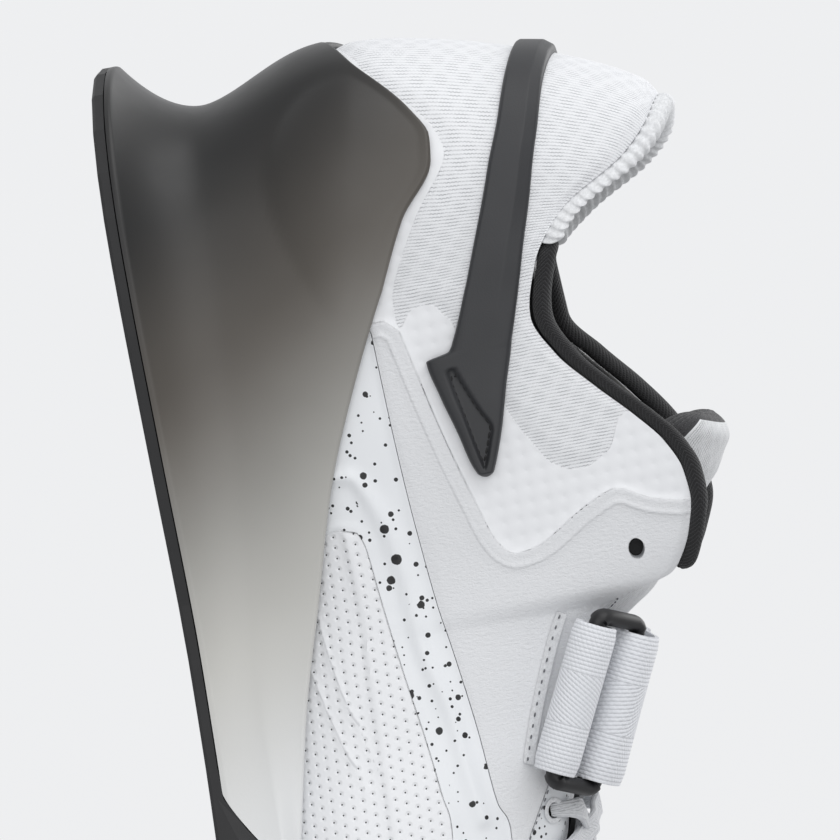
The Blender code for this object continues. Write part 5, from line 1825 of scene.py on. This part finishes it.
    def strap(self) -> Piece:
        """Strap: up from the outer side, round the ring's bar and back over itself."""
        bar = self.fold_bar()
        tracks = []
        for along in spread(-self.webbing / 2, self.webbing / 2, self.stations):
            under, over = [], []
            gather = bar - self.thick - self.fold_inner - self.reach(-self.fold_turn, along)
            for turn in spread(self.lower_end, -self.fold_turn, 60):
                reach = self.reach(turn, along)
                reach += gather * ease(1 - (turn + self.fold_turn) / self.fold_turn)
                under.append(self.polar(turn, along, reach))
                over.append(self.polar(turn, along, reach + self.thick))
            for i in range(1, 18):
                angle = -math.pi / 2 - math.pi * i / 18
                for edge, radius in ((under, self.fold_inner + self.thick), (over, self.fold_inner)):
                    across = math.sin(-self.fold_turn) * bar + radius * math.cos(angle + self.fold_turn)
                    up = math.cos(self.fold_turn) * bar + radius * math.sin(angle + self.fold_turn)
                    edge.append(self.point(along, across, up - self.core))
            for turn in spread(-self.fold_turn, self.upper_end, 44):
                reach = self.reach(turn, along) + self.thick + self.gap
                blend = ease(1 - (turn + self.fold_turn) / self.fold_turn)
                reach = mix(reach, bar + self.fold_inner, blend)
                under.append(self.polar(turn, along, reach + self.thick))
                over.append(self.polar(turn, along, reach))
            tracks.append((under, over))
        made = self.tape("strap_visual", tracks, False)
        return finish_piece(made, "white_webbing", "strap")

    def anchor(self) -> Piece:
        """Webbing loop round the ring's lower bar."""
        _, middle = self.bars()
        sides = 60
        tracks = []
        for along in spread(-self.webbing / 2, self.webbing / 2, self.stations):
            inner, outer = [], []
            for i in range(sides):
                angle = self.anchor_turn + 2 * math.pi * (i / sides - 0.25)
                heading = (math.cos(angle), math.sin(angle))
                for track, radius in ((inner, self.anchor_outer - self.thick),
                                      (outer, self.anchor_outer)):
                    track.append(self.point(along, middle[0] + heading[0] * radius,
                                            middle[1] + heading[1] * radius))
            tracks.append((inner, outer))
        made = self.tape("anchor_visual", tracks, True)
        return finish_piece(made, "white_webbing", "strap_anchor")

    def flange(self) -> Piece:
        """Flat sewn strip of plain tape behind the loop."""
        tracks = []
        for along in spread(-self.webbing / 2, self.webbing / 2, self.stations):
            under, over = [], []
            for turn in spread(self.anchor_turn + 0.03, self.anchor_tail - math.radians(2.5), 10):
                base = self.girth(-turn, along)
                under.append(self.polar(-turn, along, base + 0.1 * MM))
                over.append(self.polar(-turn, along, base + 1.3 * MM))
            tracks.append((under, over))
        made = self.tape("strap_flange", tracks, False, Look.ROLL)
        return finish_piece(made, "white_webbing")

    def flange_line(self) -> list[Vector]:
        """Line of the stitches that hold the flange."""
        turn = self.anchor_tail - math.radians(2.7)
        return [self.polar(-turn, along, self.girth(-turn, along) + 1.5 * MM)
                for along in spread(-self.webbing / 2 + 1 * MM, self.webbing / 2 - 1 * MM, 12)]

    def ring(self) -> Piece:
        """Moulded ring that joins the strap's fold to the webbing loop."""
        fold, anchor = self.bars()
        half = self.ring_length / 2 - self.ring_bar
        corner = self.ring_corner
        width = math.dist(fold, anchor)
        path = []
        for end in (1, -1):
            bends = ((0, False), (1, True)) if end == 1 else ((0, True), (1, False))
            for quarter, far in bends:
                for turn in spread(0.0, math.pi / 2, 9):
                    a, b = (math.sin(turn), math.cos(turn)) if quarter == 0 else (
                        math.cos(turn), math.sin(turn))
                    near = corner * (1 - b) / width
                    path.append((end * (half - corner + corner * a), 1 - near if far else near))
        spots = [self.point(along, mix(fold[0], anchor[0], share), mix(fold[1], anchor[1], share))
                 for along, share in path]
        over = self.point(0.0, *anchor) - self.point(0.0, *fold)
        flat_normal = over.cross(self.point(1.0, 0, 0) - self.point(0.0, 0, 0)).normalized()
        rings = []
        for i, spot in enumerate(spots):
            tangent = (spots[(i + 1) % len(spots)] - spots[i - 1]).normalized()
            outward = tangent.cross(flat_normal).normalized()
            end = abs(path[i][0]) > half - 0.5 * corner
            wide = self.ring_bar * (1.35 if end else 1.0)
            rings.append([spot + outward * self.ring_bar * math.cos(angle) + flat_normal * wide
                          * math.sin(angle) for angle in spread(0.0, 2 * math.pi, 21)[:-1]])
        made = Mesh.sweep("ring_visual", rings, self.palette.get(Look.GLOSS), closed=True)
        return finish_piece(made, "black_plastic", "strap_ring")

    def throat_height(self, s: float, across: float) -> float:
        """Height of what lies under the lace: eyestay or tongue."""
        last = self.last
        line = last.wall(last.share_round(s), -1 if across < 0 else 1)
        if abs(across) < line.top:
            up, half, drop = (read(TONGUE, name, s / last.length) for name in ("up", "half", "drop"))
            drop *= last.ball_width
            return up * last.instep - drop * (across / (half * last.ball_width)) ** 2
        return line.height(self.upper.share_at_reach(line, abs(across))) + 0.7 * MM

    @staticmethod
    def taut(levels: Sequence[float]) -> list[float]:
        """Heights of a taut lace over evenly spaced levels: their upper hull."""
        hull: list[tuple[int, float]] = []
        for spot in enumerate(levels):
            while len(hull) > 1:
                (x0, z0), (x1, z1) = hull[-2:]
                if (z1 - z0) * (spot[0] - x0) > (spot[1] - z0) * (x1 - x0):
                    break
                hull.pop()
            hull.append(spot)
        heights = []
        for x in range(len(levels)):
            k = max(i for i in range(len(hull) - 1) if hull[i][0] <= x)
            (x0, z0), (x1, z1) = hull[k], hull[k + 1]
            heights.append(mix(z0, z1, (x - x0) / (x1 - x0)))
        return heights

    def lace_rings(self, start: tuple[float, float], end: tuple[float, float],
                   over: float) -> tuple[list[list[Vector]], list[tuple[float, float]]]:
        """Rings and flat places of one flat lace from eyelet to eyelet.

        Args:
            start: Distance from the heel and across at one eyelet.
            end: The same at the other.
            over: Extra height where it crosses over another.

        Returns:
            Rings of points, and the flat place of each point.
        """
        last = self.last
        shares = spread(0.0, 1.0, 36)
        spots = []
        for t in shares:
            s, across = mix(start[0], end[0], t), mix(start[1], end[1], t)
            under = [self.throat_height(s + ds, across)
                     for ds in (-self.lace_width / 2, 0.0, self.lace_width / 2)]
            spots.append((s, across, max(under)))
        length = math.dist(start, end)
        slope = (end[0] - start[0]) / (end[1] - start[1])
        wide = Vector((1.0, -slope, 0.0)).normalized() * self.lace_width / 2
        rings, uvs = [], []
        profile = ((-1.0, 0.35), (-0.85, 0.05), (0.0, 0.0), (0.85, 0.05), (1.0, 0.35), (1.0, 0.65),
                   (0.85, 0.95), (0.0, 1.0), (-0.85, 0.95), (-1.0, 0.65))
        for t, (s, across, _), level in zip(shares, spots, self.taut([z for _, _, z in spots])):
            near = min(t, 1 - t) * length
            dive = 3.2 * MM * max(0.0, 1 - near / (3.0 * MM)) ** 2
            crossing = over * math.exp(-((t - 0.5) / 0.16) ** 2)
            spot = Vector((s, across + last.centre(s), level + self.lace_lift - dive + crossing))
            pinch = mix(0.55, 1.0, min(1.0, near / (4.0 * MM)))
            rings.append([spot + last.shift + wide * x * pinch + Vector((0, 0, z * self.lace_thick))
                          for x, z in profile])
            uvs += [((x * 0.5 + 0.5) * self.lace_width, t * length) for x, _ in profile]
        return rings, uvs

    def lace(self) -> Piece:
        """Lace drawn tight: crossings between the eyelets and the bar below."""
        last = self.last

        def eyelet(row: float, side: int) -> tuple[float, float]:
            """Distance from the heel and across of an eyelet."""
            s = row * last.length
            return s, side * (last.wall(last.share_round(s), side).top + self.upper.eyelet_set)

        rows = self.upper.lace_rows
        runs = [(eyelet(rows[-1], -1), eyelet(rows[-1], 1), 0.0)]
        for high, low in zip(rows, rows[1:]):
            runs.append((eyelet(high, -1), eyelet(low, 1), 0.0))
            runs.append((eyelet(high, 1), eyelet(low, -1), 1.6 * MM))
        points, faces, uvs = [], [], []
        for start, end, over in runs:
            rings, places = self.lace_rings(start, end, over)
            faces += Mesh.tube(len(rings), len(rings[0]), base=len(points))
            points += [point for ring in rings for point in ring]
            uvs += places
        made = Mesh.piece("lace_visual", points, faces, self.palette.get(Look.LACE), weld=False, uvs=uvs)
        return finish_piece(made, "white_webbing", "lace")

    def build(self) -> list[Piece]:
        """Build the strap, its hardware and the lace."""
        return [self.strap(), self.anchor(), self.flange(), self.ring(), self.lace()]


def mix_points(a: Vector, b: Vector, t: float) -> Vector:
    """Point between two points."""
    return a + (b - a) * t


class StitchRow(NamedTuple):
    """One row of stitches: its line, thread, and the pitch, length and radius of a stitch."""

    name: str
    line: list[Vector]
    thread: Look
    slot: str
    pitch: float
    length: float
    radius: float


class Stitching:
    """Rows of stitches laid along lines with Geometry Nodes."""

    SEED = 7

    def __init__(self, palette: Palette) -> None:
        """Build the node tree that every row shares."""
        self.palette = palette
        self.tree = bpy.data.node_groups.new("stitch_row", "GeometryNodeTree")
        face = self.tree.interface
        face.new_socket("Geometry", in_out="INPUT", socket_type="NodeSocketGeometry")
        for label in ("Pitch", "Length", "Radius"):
            face.new_socket(label, in_out="INPUT", socket_type="NodeSocketFloat")
        face.new_socket("Seed", in_out="INPUT", socket_type="NodeSocketInt")
        face.new_socket("Thread", in_out="INPUT", socket_type="NodeSocketMaterial")
        face.new_socket("Geometry", in_out="OUTPUT", socket_type="NodeSocketGeometry")
        self.lay()

    def lay(self) -> None:
        """Lay the nodes: points along the line, a stitch on each, one mesh with its thread."""
        g = Graph(self.tree)
        given = g.node("NodeGroupInput").outputs
        points = g.use("GeometryNodeCurveToPoints", {"Curve": given["Geometry"],
                                                     "Length": given["Pitch"]}, mode="LENGTH").outputs
        stitch = g.use("GeometryNodeMeshUVSphere", {"Segments": 10, "Rings": 7, "Radius": 1.0})
        vary = g.use("FunctionNodeRandomValue", {2: 0.9, 3: 1.1, "Seed": given["Seed"]},
                     data_type="FLOAT")
        size = g.join(given["Radius"], given["Radius"], g.times(given["Length"], vary.outputs[1]))
        put = g.use("GeometryNodeInstanceOnPoints", {
            "Points": points["Points"], "Instance": stitch.outputs["Mesh"],
            "Rotation": points["Rotation"], "Scale": size})
        real = g.use("GeometryNodeRealizeInstances", {"Geometry": put.outputs["Instances"]})
        paint = g.use("GeometryNodeSetMaterial", {"Geometry": real.outputs["Geometry"],
                                                  "Material": given["Thread"]})
        g.use("NodeGroupOutput", {"Geometry": paint.outputs["Geometry"]})

    def row(self, spec: StitchRow) -> Piece:
        """Lay one row of stitches.

        Args:
            spec: The row's line, thread and sizes.

        Returns:
            The plain mesh object.
        """
        curve = bpy.data.curves.new(spec.name, "CURVE")
        curve.dimensions = "3D"
        spline = curve.splines.new("POLY")
        spline.points.add(len(spec.line) - 1)
        for point, spot in zip(spline.points, spec.line):
            point.co = (*spot, 1.0)
        guide = add_object(spec.name + "_guide", curve)
        nodes = guide.modifiers.new("stitches", "NODES")
        nodes.node_group = self.tree
        values = {"Pitch": spec.pitch, "Length": spec.length / 2, "Radius": spec.radius,
                  "Seed": self.SEED, "Thread": self.palette.get(spec.thread)}
        for item in self.tree.interface.items_tree:
            if item.in_out == "INPUT" and item.name in values:
                nodes[item.identifier] = values[item.name]
        mesh = plain_mesh(guide)
        mesh.name = spec.name
        bpy.data.objects.remove(guide)
        mesh.shade_smooth()
        return finish_piece(add_object(spec.name, mesh), spec.slot)


@dataclass
class Details:
    """Stitches, eyelet rings, black discs of painted shade behind the eyelets and other small trim."""

    last: Last
    palette: Palette
    upper: Upper
    strap: InstepStrap
    recess_middle: tuple[float, float] = (0.3336, 0.5785)
    bar_inset: float = 0.14

    def drawn(self, outline: Outline, side: int, out: float) -> list[Vector]:
        """A drawn line laid on the wall at a distance out."""
        last = self.last
        smooth = Drawing(last).smooth(outline)
        spots = []
        for p, up in smooth:
            line = last.wall(p, side)
            spots.append(last.off_wall(p, side, line.share(min(up * last.collar, line.top_up)), out))
        return spots

    def rows(self) -> list[StitchRow]:
        """Every row of stitches."""
        made = [StitchRow("flange_stitches", self.strap.flange_line(), Look.GREY_THREAD,
                          "white_webbing", 2.5 * MM, 1.0 * MM, 0.22 * MM)]
        inset = tuple(tuple(mix(place, middle, self.bar_inset)
                            for place, middle in zip(spot, self.recess_middle))
                      for spot in (*BAR_RECESS, BAR_RECESS[0]))
        for side in SIDES:
            made.append(StitchRow(f"bar_stitches_{side + 1}", self.drawn(inset, side, 1.75 * MM),
                                  Look.BLACK_THREAD, "charcoal_plastic", 1.7 * MM, 1.5 * MM, 0.28 * MM))
            made.append(StitchRow(f"eyestay_stitches_{side + 1}",
                                  self.drawn(EYESTAY_EDGE, side, 0.85 * MM), Look.GREY_THREAD,
                                  "white_textile", 1.9 * MM, 1.0 * MM, 0.18 * MM))
        return made

    def rings(self) -> Piece:
        """Low rings pressed round the lace's eyelets."""
        points, faces = [], []
        major, minor = 30, 10
        for p, side, v, bore in self.upper.eyelets():
            if bore == self.upper.top_bore:
                continue
            normal = self.last.normal(p, side, v)
            turn = normal.to_track_quat("Z", "Y").to_matrix()
            middle = self.last.off_wall(p, side, v, 0.45 * MM)
            faces += Mesh.tube(major, minor, True, len(points))
            for i in range(major):
                angle = 2 * math.pi * i / major
                heading = Vector((math.cos(angle), math.sin(angle), 0.0))
                for k in range(minor):
                    bend = 2 * math.pi * k / minor
                    reach = bore / 2 + 0.55 * MM + 0.6 * MM * math.cos(bend)
                    spot = heading * reach + Vector((0, 0, 0.2 * MM * math.sin(bend)))
                    points.append(middle + turn @ spot)
        made = Mesh.piece("eyelet_rings", points, faces, self.palette.get(Look.WHITE_THREAD))
        return finish_piece(made, "white_textile")

    def shade_discs(self) -> Piece:
        """Black discs behind the eyelets: painted shade that hides the tongue showing through them."""
        points, faces = [], []
        sides = 24
        for p, side, v, bore in self.upper.eyelets():
            z = self.last.wall(p, side).height(v)
            deep = self.last.thickness(p, side, z)
            turn = self.last.normal(p, side, v).to_track_quat("Z", "Y").to_matrix()
            faces += Mesh.tube(2, sides, base=len(points))
            for level in (-deep - 0.5 * MM, -deep + 0.6 * MM):
                middle = self.last.off_wall(p, side, v, level)
                for angle in spread(0.0, 2 * math.pi, sides + 1)[:-1]:
                    heading = Vector((math.cos(angle), math.sin(angle), 0.0))
                    points.append(middle + turn @ (heading * (bore / 2 + 1.2 * MM)))
        # black discs standing in for the shade behind the eyelets
        made = Mesh.piece("eyelet_shade_discs", points, faces, self.palette.get(Look.BLACK_THREAD))
        return finish_piece(made, "black_textile")

    def build(self) -> list[Piece]:
        """Build the small trim."""
        stitching = Stitching(self.palette)
        return [*(stitching.row(spec) for spec in self.rows()), self.rings(), self.shade_discs()]


@dataclass
class Studio:
    """Pale surround, soft lamps and the photo's camera."""

    turn: float = math.radians(10.4)
    tilt: float = math.radians(6.5)
    pixels: float = 4400.0
    picture: int = 840
    lens: float = 800.0
    sensor: float = 36.0
    raised: float = 2.8 * MM
    heel_inset: float = 7.5 * MM
    side_inset: float = 14 * MM
    depth: float = 41.7 * MM
    heel_row: float = 326.0
    heel_column: float = 320.0

    def world(self) -> None:
        """Soft gradient all round."""
        world = bpy.data.worlds.new("studio")
        bpy.context.scene.world = world
        world.use_nodes = True
        graph = Graph(world.node_tree)
        back = world.node_tree.nodes["Background"]
        heading = graph.node("ShaderNodeTexCoord").outputs["Generated"]
        x, y, _ = graph.split(heading)
        front = graph.step(y, -0.2, 0.75)
        shade = graph.blend(front, (0.50, 0.505, 0.515), (0.855, 0.862, 0.875))
        lifted = graph.plus(graph.times(x, -0.08), 1.0)
        graph.feed(back.inputs["Color"], shade)
        graph.feed(back.inputs["Strength"], lifted)

    def lamp(self, name: str, spot: Sequence[float], aim: Sequence[float], power: float,
             size: float) -> None:
        """Square soft lamp aimed at a point.

        Args:
            name: The lamp's name.
            spot: Its place.
            aim: The point it faces.
            power: Its power in watts.
            size: Its side.
        """
        data = bpy.data.lights.new(name, "AREA")
        data.energy, data.size = power, size
        lamp = add_object(name, data)
        lamp.location = spot
        lamp.rotation_euler = (Vector(aim) - Vector(spot)).to_track_quat("-Z", "Y").to_euler()

    def camera(self) -> None:
        """Long lens turned so that the heel points up, as in the photo."""
        low, _ = CAD_BOX
        sin_e, cos_e = math.sin(self.tilt), math.cos(self.tilt)
        sin_t, cos_t = math.sin(self.turn), math.cos(self.turn)
        right, up = Vector((1, 0, 0)), Vector((0, sin_e, cos_e))
        back = Vector((0, -cos_e, sin_e))
        heel = low.x + self.heel_inset
        ground = (low.y + self.side_inset) * sin_e + self.raised * cos_e
        across = (self.heel_row * sin_t + self.heel_column * cos_t) / self.pixels
        height = (self.heel_row * cos_t - self.heel_column * sin_t) / self.pixels
        target = right * (heel + across) + up * (ground + height) + back * self.depth
        side, top = right * sin_t + up * cos_t, up * sin_t - right * cos_t
        data = bpy.data.cameras.new("camera")
        data.lens, data.sensor_width = self.lens, self.sensor
        data.clip_end = 20.0
        far = self.picture / self.pixels * self.lens / self.sensor
        camera = add_object("camera", data)
        turn = camera.matrix_world.to_3x3()
        turn.col[0], turn.col[1], turn.col[2] = side, top, back
        placed = turn.to_4x4()
        placed.translation = target + back * far
        camera.matrix_world = placed
        bpy.context.scene.camera = camera

    def build(self) -> None:
        """Light the shoe and place the camera."""
        bpy.context.scene.view_settings.view_transform = "Standard"
        self.world()
        aim = (-0.04, 0.0, 0.06)
        self.lamp("key", (-1.15, -0.45, 0.65), aim, 7.5, 1.2)
        self.lamp("fill", (-0.2, -1.2, 0.35), aim, 6.0, 1.4)
        self.lamp("rim", (-0.3, 0.9, 0.9), aim, 5.0, 0.9)
        self.camera()


def main() -> None:
    """Dress the shoe, light it and place the camera."""
    logging.basicConfig(level=logging.INFO, format="%(name)s: %(message)s")
    last, palette = Last(), Palette()
    upper = Upper(last, palette)
    strap = InstepStrap(last, palette, upper)
    parts = (Sole(last, palette), upper, TonguePad(last, palette), strap,
             Details(last, palette, upper, strap))
    for part in parts:
        made = part.build()
        LOG.info("%s: %d pieces", type(part).__name__, len(made))
    Studio().build()


if __name__ == "__main__":
    main()
